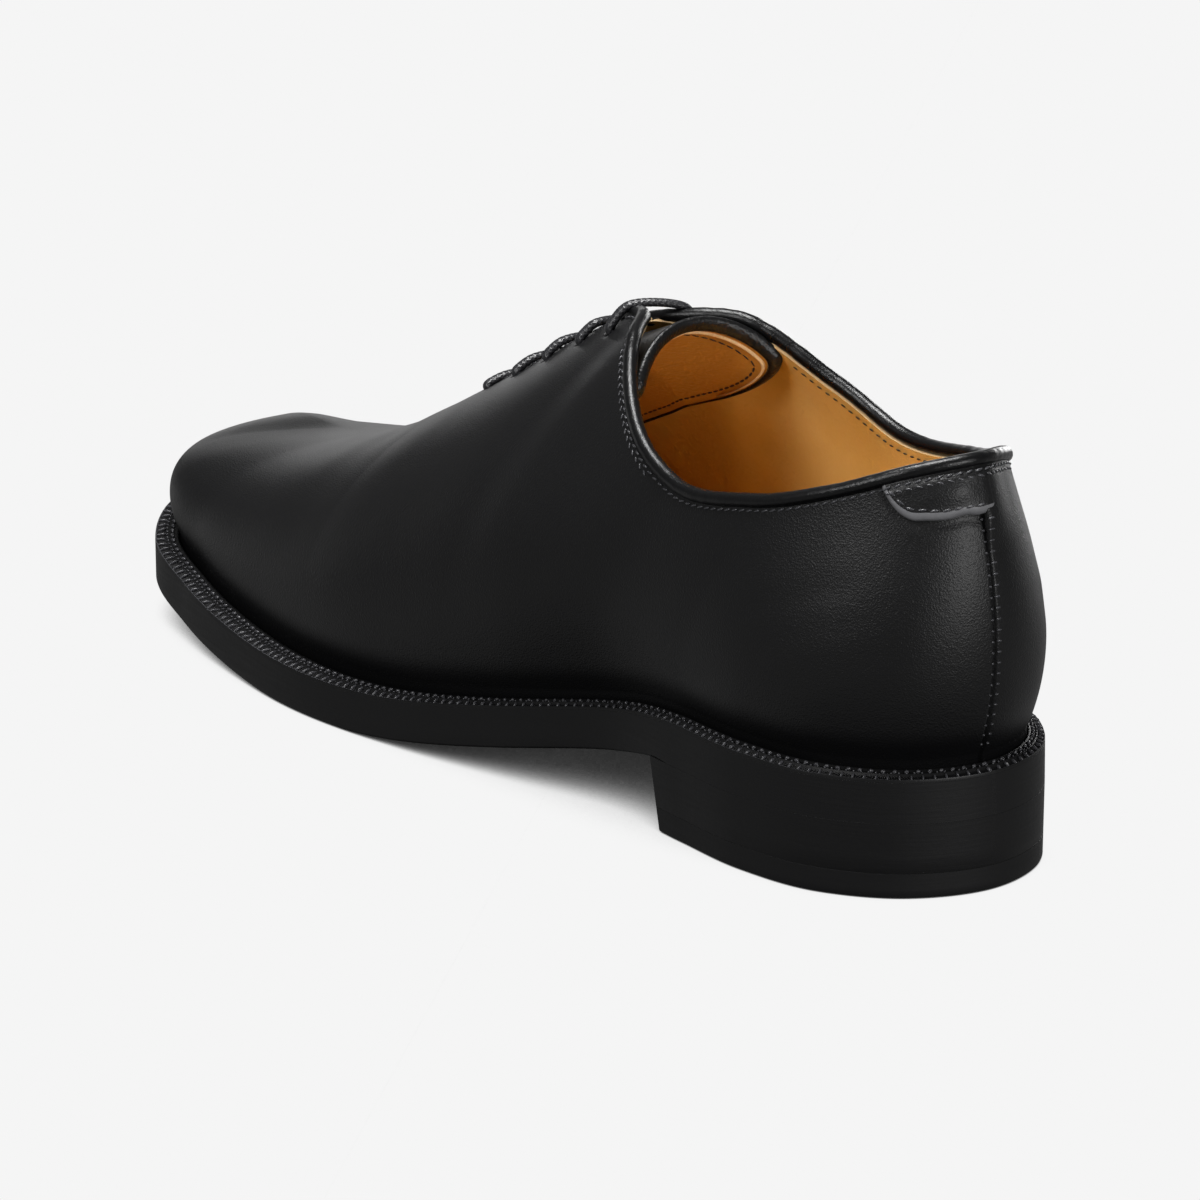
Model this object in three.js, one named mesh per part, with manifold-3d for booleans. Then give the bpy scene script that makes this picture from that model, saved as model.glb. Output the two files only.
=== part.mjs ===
// Whole cut oxford, a left shoe of about EU 43, in millimetres.
// +Y runs to the toe, +X to the shoe's right (its inner side), +Z up, and the floor is z = 0.
// Everything is worked out round one line, the side of the sole from the heel's back to the toe's
// tip. A share of 0 is the heel's back and 1 the toe's tip, on the left side (-1) and the right (+1).
import * as THREE from 'three';
import { mergeVertices } from 'three/addons/utils/BufferGeometryUtils.js';
import Module from 'manifold-3d';

const wasm = await Module();
wasm.setup();

// Driving sizes
const LENGTH = 305; // sole from heel to toe
const HALF_WIDTH = 51; // half of the ball's width, the unit of the outline's shares
const BACK_HEIGHT = 99; // top of the binding at the back, the unit of the upper's heights
const SOLE_THICK = 9.5;
const WELT_THICK = 3.0;
const WELT_LEDGE = 6.0; // welt that shows beside the ball
const WELT_LIP = 0.5; // how far the welt stays inside the sole's edge
const HEEL_LENGTH = 77.5; // heel's back to its breast
const HEEL_HEIGHT = 17.4; // floor to the sole's underside
const TOP_LIFT = 5.7; // lowest layer of the heel
const HEEL_TAPER = 1.0; // how far the heel draws in at the floor
const BREAST_HOLLOW = 4.0; // depth of the curve in the heel's front
const BREAST_LEAN = 3.0; // how far the heel's front leans back at the floor
const EDGE_ROUND = 0.8; // broken edge of the sole
const TREAD_START = 181; // where the forefoot meets the floor
const TREAD_LENGTH = 25;
const TOE_SPRING = 13.3;
const TOP_BEND = [-9, -3, 3, 9]; // steps along the sole over which its top's bend is spread
const WALL = 2.2; // leather and lining together
const BINDING_WIDE = 3.4; // rolled edge round the collar, across the wall
const BINDING_HIGH = 3.0;
const TAIL_THICK = 1.1; // the right quarter's end that laps over the back seam
const TAIL_DEPTH = 13.6;
const TONGUE_THICK = 2.8;
const TONGUE_REACH = 0.43; // share of the section that each half of the tongue covers
const TONGUE_SAG = 2.4; // how far its middle hangs below the facings at the top
const TONGUE_COVERED = 0.76; // share of its length that lies under the facings
const RIM_HALF = 17.6; // the tongue's rim is part of an ellipse across the foot
const RIM_RISE = 18.5;
const RIM_TURN = 80; // degrees of the ellipse on each side
const RIM_DROOP = 4.0; // how far the rim's ends run back towards the heel
const INSOLE_THICK = 3.0;
const LACE_RADIUS = 1.25;
const EYELET_RADIUS = 1.9;
const EYELET_SETBACK = 6.2; // from the facing's edge
const GAP = 0.3; // clearance between pieces that touch
const SOCK_GAP = 0.5; // clearance under the insole, over the sole's bend

// Shares where the upper's edge changes
const CORNER = 0.46; // top corner of the facings
const THROAT = 0.62; // end of the lacing

// Sole outline: y as a share of LENGTH, distance from the axis as a share of HALF_WIDTH
const OUTLINE = [
  { y: 0.0, left: 0.0, right: 0.0 },
  { y: 0.02, left: 0.365, right: 0.355 },
  { y: 0.073, left: 0.625, right: 0.605 },
  { y: 0.148, left: 0.724, right: 0.7 },
  { y: 0.23, left: 0.716, right: 0.655 },
  { y: 0.312, left: 0.7, right: 0.585 },
  { y: 0.42, left: 0.848, right: 0.615 },
  { y: 0.535, left: 0.98, right: 0.78 },
  { y: 0.65, left: 1.045, right: 0.92 },
  { y: 0.752, left: 0.99, right: 0.95 },
  { y: 0.85, left: 0.882, right: 0.86 },
  { y: 0.93, left: 0.735, right: 0.62 },
  { y: 0.981, left: 0.45, right: 0.36 },
  { y: 1.0, left: -0.09, right: 0.09 },
];

// Welt that shows between the sole's edge and the upper, as a share of WELT_LEDGE
const LEDGE = [
  { at: 0.0, left: 0.66, right: 0.66 },
  { at: 0.15, left: 0.66, right: 0.66 },
  { at: 0.28, left: 0.53, right: 0.45 },
  { at: 0.38, left: 0.5, right: 0.42 },
  { at: 0.5, left: 0.77, right: 0.7 },
  { at: 0.62, left: 0.97, right: 0.93 },
  { at: 0.8, left: 1.0, right: 1.0 },
  { at: 1.0, left: 1.07, right: 1.07 },
];

// Upper's top edge: x, y and z as shares of HALF_WIDTH, LENGTH and BACK_HEIGHT
const TOP_EDGE = [
  { at: 0.0, x: 0.0, y: 0.0246, z: 1.0 },
  { at: 0.08, x: 0.247, y: 0.044, z: 0.979 },
  { at: 0.16, x: 0.471, y: 0.091, z: 0.919 },
  { at: 0.24, x: 0.6, y: 0.154, z: 0.865 },
  { at: 0.32, x: 0.627, y: 0.243, z: 0.843 },
  { at: 0.38, x: 0.545, y: 0.31, z: 0.929 },
  { at: 0.43, x: 0.278, y: 0.38, z: 1.063 },
  { at: CORNER, x: 0.055, y: 0.4164, z: 1.075 },
  { at: 0.5, x: 0.051, y: 0.482, z: 0.973 },
  { at: 0.56, x: 0.043, y: 0.557, z: 0.845 },
  { at: THROAT, x: 0.0235, y: 0.6426, z: 0.703 },
];

// Ridge of the vamp from the throat to the toe, in the same shares
const RIDGE = [
  { at: THROAT, x: 0.0, y: 0.6426, z: 0.703 },
  { at: 0.7, x: 0.016, y: 0.7066, z: 0.598 },
  { at: 0.8, x: 0.049, y: 0.7869, z: 0.504 },
  { at: 0.9, x: 0.078, y: 0.859, z: 0.4535 },
  { at: 1.0, x: 0.088, y: 0.9069, z: 0.4465 },
];

// Section curves: flare out of vertical at the foot and slope below level at the top, in degrees,
// with the curve's pull at each end as a share of the straight line between them
const SECTION = [
  { at: 0.0, flare: 22, foot: 0.37, slope: 72, top: 0.36 },
  { at: 0.16, flare: 24, foot: 0.39, slope: 76, top: 0.34 },
  { at: 0.26, flare: 20, foot: 0.38, slope: 70, top: 0.32 },
  { at: 0.36, flare: 26, foot: 0.38, slope: 66, top: 0.32 },
  { at: 0.43, flare: 26, foot: 0.4, slope: 45, top: 0.35 },
  { at: 0.48, flare: 24, foot: 0.42, slope: 34, top: 0.34 },
  { at: 0.56, flare: 22, foot: 0.43, slope: 22, top: 0.34 },
  { at: THROAT, flare: 20, foot: 0.43, slope: 8, top: 0.35 },
  { at: 0.7, flare: 17, foot: 0.44, slope: 0, top: 0.39 },
  { at: 0.8, flare: 20, foot: 0.44, slope: 0, top: 0.42 },
  { at: 0.9, flare: 32, foot: 0.5, slope: 0, top: 0.47 },
  { at: 1.0, flare: 30, foot: 0.51, slope: 0, top: 0.42 },
];

// Axis that the section curves face away from, in shares of HALF_WIDTH and LENGTH
const AXIS = [
  { at: 0.0, x: 0.0, y: 0.151 },
  { at: 0.24, x: 0.0, y: 0.184 },
  { at: CORNER, x: 0.0, y: 0.436 },
  { at: THROAT, x: 0.0, y: 0.643 },
  { at: 1.0, x: 0.088, y: 0.908 },
];

// Eyelets from the throat up, with the setback as a share of EYELET_SETBACK
const EYELETS = [
  { at: 0.594, setback: 1.0 },
  { at: 0.56, setback: 1.0 },
  { at: 0.526, setback: 1.0 },
  { at: 0.494, setback: 1.0 },
  { at: 0.47, setback: 1.3 },
];

// Middle of the ellipse of the tongue's rim, in the same shares
const RIM_CENTRE = { x: 0.07, y: 0.394, z: 0.826 };

// Faces along and across each piece
const QUARTER_STEPS = 22;
const FACING_STEPS = 8;
const VAMP_STEPS = 17;
const WALL_ROWS = 11;
const SOLE_ROWS = 40;
const SOLE_COLUMNS = 4;
const SOLE_HEEL_PART = 0.25; // part of the sole's rows that lies over the heel
const INSOLE_COLUMNS = 3;
const HEEL_ROWS = 15;
const HEEL_COLUMNS = 6;
const BINDING_STEPS = 28;
const BINDING_SIDES = 8;
const TAIL_STEPS = 20;
const TAIL_ROWS = 3;
const TONGUE_STEPS = 11;
const LACE_STEPS = 13;

const LEFT = -1;
const RIGHT = 1;
const SIDES = [LEFT, RIGHT];

// A smooth curve through a column of a table
function spline(rows, key, column, at, first, last) {
  const n = rows.length - 1;
  const step = (k) => rows[k + 1][key] - rows[k][key];
  const rate = (k) => (rows[k + 1][column] - rows[k][column]) / step(k);
  const slope = (k) => {
    if (k === 0) return first ?? rate(0);
    if (k === n) return last ?? rate(n - 1);
    return (step(k - 1) * rate(k) + step(k) * rate(k - 1)) / (step(k - 1) + step(k));
  };
  const x = Math.min(Math.max(at, rows[0][key]), rows[n][key]);
  let k = 0;
  while (k < n - 1 && x >= rows[k + 1][key]) k += 1;
  const h = step(k);
  const t = (x - rows[k][key]) / h;
  const a = (1 + 2 * t) * (1 - t) ** 2 * rows[k][column];
  const b = t * (1 - t) ** 2 * h * slope(k);
  const c = t * t * (3 - 2 * t) * rows[k + 1][column];
  const d = t * t * (t - 1) * h * slope(k + 1);
  return a + b + c + d;
}

function ramp(at, low, high) {
  return THREE.MathUtils.smoothstep(at, low, high);
}

// Sole

function soleBottom(y) {
  const arch = THREE.MathUtils.clamp((y - HEEL_LENGTH) / (TREAD_START - HEEL_LENGTH), 0, 1);
  const treadEnd = TREAD_START + TREAD_LENGTH;
  const toe = Math.max((y - treadEnd) / (LENGTH - treadEnd), 0);
  return HEEL_HEIGHT * (1 - arch) ** 1.7 * (1 + 0.7 * arch) + TOE_SPRING * toe ** 1.8;
}

// The sole's top bends more gently than its underside where the waist leaves the heel
function soleTop(y) {
  const sum = TOP_BEND.reduce((total, step) => total + soleBottom(y + step), 0);
  return sum / TOP_BEND.length + SOLE_THICK;
}

// The side of the sole as evenly spaced points with their outward directions
function sampleSide(side) {
  const column = side < 0 ? 'left' : 'right';
  const corners = OUTLINE.map((row) => ({ x: side * row[column] * HALF_WIDTH, y: row.y * LENGTH }));
  corners[0].run = 0;
  for (let k = 1; k < corners.length; k += 1) {
    const a = corners[k - 1];
    const b = corners[k];
    b.run = a.run + Math.hypot(b.x - a.x, b.y - a.y);
  }
  const total = corners[corners.length - 1].run;
  const points = [];
  for (let k = 0; k <= 400; k += 1) {
    const run = (total * k) / 400;
    const x = spline(corners, 'run', 'x', run, side, -side);
    const y = spline(corners, 'run', 'y', run, 0, 0);
    points.push(new THREE.Vector3(x, y, 0));
  }
  const curve = new THREE.CatmullRomCurve3(points, false, 'centripetal');
  curve.arcLengthDivisions = 800;
  return curve;
}

const SIDE_CURVES = { [LEFT]: sampleSide(LEFT), [RIGHT]: sampleSide(RIGHT) };

// A point of the side, drawn in by an inset. The two sides share their first and last points, where
// the outline runs straight across the shoe.
function sidePoint(side, at, inset) {
  const point = SIDE_CURVES[side].getPointAt(at);
  const along = SIDE_CURVES[side].getTangentAt(at);
  if (at === 0) along.set(side, 0, 0);
  if (at === 1) along.set(-side, 0, 0);
  point.x -= inset * side * along.y;
  point.y += inset * side * along.x;
  return point;
}

function ledge(side, at) {
  return WELT_LEDGE * spline(LEDGE, 'at', side < 0 ? 'left' : 'right', at);
}

// The share of the side at which it reaches a given y
function shareAt(side, y) {
  let low = 0;
  let high = 1;
  for (let k = 0; k < 30; k += 1) {
    const middle = (low + high) / 2;
    if (SIDE_CURVES[side].getPointAt(middle).y < y) low = middle;
    else high = middle;
  }
  return (low + high) / 2;
}

// Upper

// Where the upper stands on the sole
function footPoint(side, at) {
  const point = sidePoint(side, at, ledge(side, at));
  point.z = soleTop(point.y) + GAP;
  return point;
}

function edgeRow(rows, at, side) {
  const x = spline(rows, 'at', 'x', at) * HALF_WIDTH;
  const y = spline(rows, 'at', 'y', at, rows === TOP_EDGE ? 0 : undefined) * LENGTH;
  const z = spline(rows, 'at', 'z', at, rows === TOP_EDGE ? 0 : undefined) * BACK_HEIGHT;
  return new THREE.Vector3(side * x, y, z);
}

function topPoint(side, at) {
  if (at < THROAT) return edgeRow(TOP_EDGE, at, side);
  return edgeRow(RIDGE, at, 1);
}

function ridgeFall(at) {
  const step = 0.001;
  const a = edgeRow(RIDGE, Math.max(at - step, THROAT), 1);
  const b = edgeRow(RIDGE, Math.min(at + step, 1), 1);
  return (b.z - a.z) / (b.y - a.y);
}

// The curve of the wall from the welt's top to the top edge
function sectionCurve(side, at) {
  const foot = footPoint(side, at);
  foot.z += WELT_THICK + GAP;
  const top = topPoint(side, at);
  const out = new THREE.Vector3(
    foot.x - axisValue('x', at) * HALF_WIDTH,
    foot.y - axisValue('y', at) * LENGTH,
    0,
  ).normalize();
  const flare = THREE.MathUtils.degToRad(spline(SECTION, 'at', 'flare', at));
  const slope = THREE.MathUtils.degToRad(spline(SECTION, 'at', 'slope', at));
  const chord = foot.distanceTo(top);
  const up = out.clone().multiplyScalar(Math.sin(flare));
  up.z = Math.cos(flare);
  const down = out.clone().multiplyScalar(Math.cos(slope));
  down.z = -Math.sin(slope);
  if (at >= THROAT) down.z += ridgeFall(at) * out.y * Math.cos(slope);
  const low = foot.clone().addScaledVector(up, chord * spline(SECTION, 'at', 'foot', at));
  const high = top.clone().addScaledVector(down, chord * spline(SECTION, 'at', 'top', at));
  return new THREE.CubicBezierCurve3(foot, low, high, top);
}

function axisValue(column, at) {
  let k = 0;
  while (k < AXIS.length - 2 && at >= AXIS[k + 1].at) k += 1;
  const t = (at - AXIS[k].at) / (AXIS[k + 1].at - AXIS[k].at);
  return THREE.MathUtils.lerp(AXIS[k][column], AXIS[k + 1][column], t);
}

// The share of a section that lies a given depth below its top
function shareBelow(curve, depth) {
  const pull = curve.v3.distanceTo(curve.v2);
  return 1 - depth / (3 * pull);
}

// Outer surface of the wall: a point and its outward direction
function wallPoint(side, at, depth) {
  const curve = sectionCurve(side, at);
  return curve.getPoint(shareBelow(curve, depth));
}

function wallNormal(side, at, depth) {
  const step = 0.004;
  const ahead = wallPoint(side, Math.min(at + step, 1), depth);
  const along = ahead.sub(wallPoint(side, Math.max(at - step, 0), depth));
  const down = wallPoint(side, at, depth + 1).sub(wallPoint(side, at, depth - 1));
  return along.cross(down).multiplyScalar(-side).normalize();
}

// Depth of the wall's rim below the top edge: the binding sits there round the collar
function rimDepth(at) {
  return (BINDING_HIGH + GAP) * (1 - ramp(at, CORNER - 0.006, CORNER + 0.012));
}

const STEPS = QUARTER_STEPS + FACING_STEPS + VAMP_STEPS;

function stepShare(i) {
  if (i <= QUARTER_STEPS) return (CORNER * i) / QUARTER_STEPS;
  const j = i - QUARTER_STEPS;
  if (j <= FACING_STEPS) return CORNER + ((THROAT - CORNER) * j) / FACING_STEPS;
  return THROAT + ((1 - THROAT) * (j - FACING_STEPS)) / VAMP_STEPS;
}

function solidFromMesh(positions, triangles) {
  const geometry = new THREE.BufferGeometry();
  geometry.setAttribute('position', new THREE.Float32BufferAttribute(positions, 3));
  geometry.setIndex(triangles);
  return tidy(geometry);
}

// Merged vertices and no triangles without area
function tidy(geometry) {
  geometry.deleteAttribute('normal');
  geometry.deleteAttribute('uv');
  const merged = mergeVertices(geometry, 1e-4);
  const index = merged.getIndex().array;
  const kept = [];
  for (let k = 0; k < index.length; k += 3) {
    const [a, b, c] = [index[k], index[k + 1], index[k + 2]];
    if (a !== b && b !== c && c !== a) kept.push(a, b, c);
  }
  merged.setIndex(kept);
  return merged;
}

function toManifold(geometry) {
  const vertProperties = new Float32Array(geometry.getAttribute('position').array);
  const triVerts = new Uint32Array(geometry.getIndex().array);
  return new wasm.Manifold(new wasm.Mesh({ numProp: 3, vertProperties, triVerts }));
}

function fromManifold(solid) {
  const mesh = solid.getMesh();
  const geometry = new THREE.BufferGeometry();
  geometry.setAttribute('position', new THREE.BufferAttribute(mesh.vertProperties, 3));
  geometry.setIndex(new THREE.BufferAttribute(mesh.triVerts, 1));
  return geometry;
}

// The upper: one wall, open at the collar, the throat and underneath
function upperGeometry() {
  const ids = new Map();
  const outer = [];
  const faces = [];
  const id = (side, i, j) => {
    const shared = i === 0 || i === STEPS || (j === WALL_ROWS && i >= QUARTER_STEPS + FACING_STEPS);
    const key = `${shared ? 0 : side}:${i}:${j}`;
    if (!ids.has(key)) {
      ids.set(key, outer.length);
      outer.push(upperVertex(side, i, j));
    }
    return ids.get(key);
  };
  const rim = [];
  for (const side of SIDES) {
    for (let i = 0; i < STEPS; i += 1) {
      for (let j = 0; j < WALL_ROWS; j += 1) {
        const quad = [id(side, i, j), id(side, i + 1, j), id(side, i + 1, j + 1), id(side, i, j + 1)];
        faces.push(side > 0 ? quad : quad.reverse());
      }
      const low = [id(side, i + 1, 0), id(side, i, 0)];
      rim.push(side > 0 ? low : low.reverse());
      if (i < QUARTER_STEPS + FACING_STEPS) {
        const high = [id(side, i, WALL_ROWS), id(side, i + 1, WALL_ROWS)];
        rim.push(side > 0 ? high : high.reverse());
      }
    }
  }
  const normals = outer.map(() => new THREE.Vector3());
  for (const [a, b, c, d] of faces) {
    const one = outer[c].clone().sub(outer[a]);
    const two = outer[d].clone().sub(outer[b]);
    const normal = one.cross(two);
    for (const k of [a, b, c, d]) normals[k].add(normal);
  }
  const count = outer.length;
  const inner = outer.map((point, k) => point.clone().addScaledVector(normals[k].normalize(), -WALL));
  const positions = [...outer, ...inner].flatMap((point) => point.toArray());
  const triangles = [];
  for (const [a, b, c, d] of faces) {
    triangles.push(a, b, c, a, c, d);
    triangles.push(count + a, count + c, count + b, count + a, count + d, count + c);
  }
  for (const [a, b] of rim) triangles.push(a, b, count + b, a, count + b, count + a);
  return solidFromMesh(positions, triangles);
}

function upperVertex(side, i, j) {
  const at = stepShare(i);
  if (j === 0) return footPoint(side, at);
  const curve = sectionCurve(side, at);
  const end = shareBelow(curve, rimDepth(at));
  return curve.getPoint((end * (j - 1)) / (WALL_ROWS - 1));
}

// A plain eyelet hole through a facing
function eyeletCutter(side, row) {
  const depth = EYELET_SETBACK * row.setback;
  const direction = wallNormal(side, row.at, depth);
  const geometry = new THREE.CylinderGeometry(EYELET_RADIUS, EYELET_RADIUS, WALL * 4, 10);
  geometry.applyQuaternion(new THREE.Quaternion().setFromUnitVectors(new THREE.Vector3(0, 1, 0), direction));
  const middle = wallPoint(side, row.at, depth).addScaledVector(direction, -WALL / 2);
  geometry.translate(middle.x, middle.y, middle.z);
  return toManifold(tidy(geometry));
}

function punchedUpper() {
  let solid = toManifold(upperGeometry());
  for (const side of SIDES) {
    for (const row of EYELETS) solid = solid.subtract(eyeletCutter(side, row));
  }
  return fromManifold(solid);
}

// Slabs under the foot

// A slab between levels, each a grid of points across the shoe. The first level closes the
// underside, the last one the top, and their edges are joined in order.
function slab(rows, columns, levels) {
  const positions = [];
  for (const level of levels) {
    for (let i = 0; i <= rows; i += 1) {
      for (let j = 0; j <= columns; j += 1) positions.push(...level(i / rows, j / columns).toArray());
    }
  }
  const size = (rows + 1) * (columns + 1);
  const id = (level, i, j) => level * size + i * (columns + 1) + j;
  const triangles = [];
  const last = levels.length - 1;
  for (let i = 0; i < rows; i += 1) {
    for (let j = 0; j < columns; j += 1) {
      const low = [id(0, i, j), id(0, i, j + 1), id(0, i + 1, j + 1), id(0, i + 1, j)];
      const high = low.map((k) => k + last * size);
      triangles.push(low[0], low[2], low[1], low[0], low[3], low[2]);
      triangles.push(high[0], high[1], high[2], high[0], high[2], high[3]);
    }
  }
  const loop = [];
  for (let i = 0; i < rows; i += 1) loop.push([i, 0]);
  for (let j = 0; j < columns; j += 1) loop.push([rows, j]);
  for (let i = rows; i > 0; i -= 1) loop.push([i, columns]);
  for (let j = columns; j > 0; j -= 1) loop.push([0, j]);
  loop.forEach(([i, j], k) => {
    const [m, n] = loop[(k + 1) % loop.length];
    for (let level = 0; level < last; level += 1) {
      const [a, b] = [id(level, i, j), id(level, m, n)];
      const [c, d] = [id(level + 1, m, n), id(level + 1, i, j)];
      triangles.push(a, c, b, a, d, c);
    }
  });
  return solidFromMesh(positions, triangles);
}

const BREAST = { [LEFT]: shareAt(LEFT, HEEL_LENGTH), [RIGHT]: shareAt(RIGHT, HEEL_LENGTH) };

// The share of a side at a row of the sole: one row lies straight above the heel's breast
function soleShare(side, at) {
  if (at <= SOLE_HEEL_PART) return (BREAST[side] * at) / SOLE_HEEL_PART;
  return THREE.MathUtils.lerp(BREAST[side], 1, (at - SOLE_HEEL_PART) / (1 - SOLE_HEEL_PART));
}

// A level of the whole sole, drawn in by an inset, at a height worked out from y
function soleLevel(inset, height) {
  const edge = (side, at) => {
    const share = soleShare(side, at);
    return sidePoint(side, share, typeof inset === 'function' ? inset(side, share) : inset);
  };
  return (at, across) => {
    const point = edge(LEFT, at).lerp(edge(RIGHT, at), across);
    point.z = height(point.y);
    return point;
  };
}

function outsoleGeometry() {
  return slab(SOLE_ROWS, SOLE_COLUMNS, [
    soleLevel(EDGE_ROUND, soleBottom),
    soleLevel(0, (y) => soleBottom(y) + EDGE_ROUND),
    soleLevel(0, (y) => soleTop(y) - EDGE_ROUND / 2),
    soleLevel(EDGE_ROUND / 2, soleTop),
  ]);
}

function insoleGeometry() {
  const inset = (side, at) => ledge(side, at) + WALL + GAP;
  const drawnIn = (side, at) => inset(side, at) + INSOLE_THICK * 0.25;
  const height = (share) => (y) => soleTop(y) + SOCK_GAP + INSOLE_THICK * share;
  return slab(SOLE_ROWS, INSOLE_COLUMNS, [
    soleLevel(inset, height(0)),
    soleLevel(inset, height(0.8)),
    soleLevel(drawnIn, height(1)),
  ]);
}

// A level of the heel, which ends at its curved breast
function heelLevel(inset, height) {
  return (at, across) => {
    const left = sidePoint(LEFT, at * BREAST[LEFT], inset);
    const right = sidePoint(RIGHT, at * BREAST[RIGHT], inset);
    const point = left.lerp(right, across);
    const hollow = BREAST_HOLLOW * 4 * across * (1 - across) * at ** 6;
    const lean = BREAST_LEAN * (1 - height / HEEL_HEIGHT) * at ** 3;
    point.y -= hollow + lean;
    point.z = height;
    return point;
  };
}

function heelInset(height) {
  return HEEL_TAPER * (1 - height / HEEL_HEIGHT);
}

function topLiftGeometry() {
  return slab(HEEL_ROWS, HEEL_COLUMNS, [
    heelLevel(heelInset(0) + EDGE_ROUND / 2, 0),
    heelLevel(heelInset(EDGE_ROUND), EDGE_ROUND / 2),
    heelLevel(heelInset(TOP_LIFT), TOP_LIFT),
  ]);
}

function heelStackGeometry() {
  const low = TOP_LIFT + GAP;
  const high = HEEL_HEIGHT - GAP;
  return slab(HEEL_ROWS, HEEL_COLUMNS, [heelLevel(heelInset(low), low), heelLevel(heelInset(high), high)]);
}

// A closed band swept round a loop or along a line: rings of points, each ring closed
function sweep(rings, closed) {
  const count = rings[0].length;
  const positions = rings.flat().flatMap((point) => point.toArray());
  const triangles = [];
  const spans = closed ? rings.length : rings.length - 1;
  for (let i = 0; i < spans; i += 1) {
    const next = (i + 1) % rings.length;
    for (let j = 0; j < count; j += 1) {
      const k = (j + 1) % count;
      const [a, b, c, d] = [i * count + j, next * count + j, next * count + k, i * count + k];
      triangles.push(a, b, c, a, c, d);
    }
  }
  if (!closed) {
    const end = (rings.length - 1) * count;
    for (let j = 1; j < count - 1; j += 1) {
      triangles.push(0, j, j + 1);
      triangles.push(end, end + j + 1, end + j);
    }
  }
  return solidFromMesh(positions, triangles);
}

// The welt, all round the upper's foot: higher inside, falling to a thin outer lip
const WELT_PROFILE = [
  { across: 0.0, up: 0.0 },
  { across: 0.0, up: 1.0 },
  { across: 0.82, up: 0.85 },
  { across: 1.0, up: 0.6 },
  { across: 1.0, up: 0.0 },
];

function weltRing(side, at) {
  const inner = ledge(side, at) - GAP;
  return WELT_PROFILE.map(({ across, up }) => {
    const point = sidePoint(side, at, THREE.MathUtils.lerp(inner, WELT_LIP, across));
    point.z = soleTop(point.y) + GAP + WELT_THICK * up;
    return point;
  });
}

function weltGeometry() {
  const rings = [];
  for (let k = 0; k <= STEPS; k += 1) rings.push(weltRing(LEFT, stepShare(k)));
  for (let k = STEPS - 1; k > 0; k -= 1) rings.push(weltRing(RIGHT, stepShare(k)));
  return sweep(rings, true);
}

// The rolled binding round the collar
function bindingRing(side, at) {
  const depth = BINDING_HIGH / 2;
  const out = wallNormal(side, at, depth);
  const curve = sectionCurve(side, at);
  const up = curve.getTangent(shareBelow(curve, depth));
  const middle = wallPoint(side, at, depth).addScaledVector(out, -WALL / 2);
  const ring = [];
  for (let k = 0; k < BINDING_SIDES; k += 1) {
    const angle = (Math.PI * 2 * (k + 0.5)) / BINDING_SIDES;
    const point = middle.clone().addScaledVector(out, (BINDING_WIDE / 2) * Math.cos(angle));
    ring.push(point.addScaledVector(up, (BINDING_HIGH / 2) * Math.sin(angle)));
  }
  return ring;
}

function bindingGeometry() {
  const end = CORNER - 0.009;
  const rings = [];
  for (let k = BINDING_STEPS; k > 0; k -= 1) rings.push(bindingRing(LEFT, (end * k) / BINDING_STEPS));
  rings.push(bindingRing(LEFT, 0).map((point) => point.setX(0)));
  for (let k = 1; k <= BINDING_STEPS; k += 1) rings.push(bindingRing(RIGHT, (end * k) / BINDING_STEPS));
  return sweep(rings, false);
}

// The tail: the right quarter's end, thin on the right and full where it laps over the left
const TAIL = [
  { at: -0.06, depth: 0.9, thick: 0.3 },
  { at: -0.02, depth: 0.98, thick: 0.8 },
  { at: 0.0, depth: 1.0, thick: 1.0 },
  { at: 0.02, depth: 0.985, thick: 1.0 },
  { at: 0.042, depth: 1.0, thick: 1.0 },
  { at: 0.062, depth: 0.96, thick: 1.0 },
  { at: 0.08, depth: 0.86, thick: 1.0 },
  { at: 0.095, depth: 0.63, thick: 1.0 },
  { at: 0.106, depth: 0.36, thick: 0.9 },
];

function tailPoint(at, down, lift) {
  const side = at < 0 ? RIGHT : LEFT;
  const share = Math.abs(at);
  const high = BINDING_HIGH + GAP * 2;
  const low = Math.max(TAIL_DEPTH * spline(TAIL, 'at', 'depth', at), high + 0.8);
  const depth = THREE.MathUtils.lerp(low, high, down);
  const point = wallPoint(side, share, depth);
  point.addScaledVector(wallNormal(side, share, depth), lift);
  if (share === 0) point.x = 0;
  return point;
}

function tailGeometry() {
  const [first, last] = [TAIL[0].at, TAIL[TAIL.length - 1].at];
  const level = (lift) => (along, up) => {
    const at = THREE.MathUtils.lerp(first, last, along);
    const thick = TAIL_THICK * spline(TAIL, 'at', 'thick', at);
    return tailPoint(Math.abs(at) < 0.002 ? 0 : at, up, GAP + thick * lift);
  };
  return slab(TAIL_STEPS, TAIL_ROWS, [level(0), level(1)]);
}

// The tongue lies under the facings and ends behind them in a rounded rim
function coveredTongue(along, across, lift) {
  const side = across < 0 ? LEFT : RIGHT;
  const reach = Math.abs(across);
  const at = THREE.MathUtils.lerp(THROAT - 0.012, CORNER + 0.022, along);
  const curve = sectionCurve(side, at);
  const share = 1 - reach * TONGUE_REACH;
  const depth = (1 - share) * 3 * curve.v3.distanceTo(curve.v2);
  const point = curve.getPoint(share);
  const sag = TONGUE_SAG * ramp(along, 0.1, 1) * (1 - reach ** 2);
  const drop = WALL + GAP * 2 + sag + TONGUE_THICK * (1 - lift);
  point.addScaledVector(wallNormal(side, at, Math.max(depth, 1.2)), -drop);
  if (reach < 0.02) point.x *= 0.5;
  return point;
}

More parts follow.
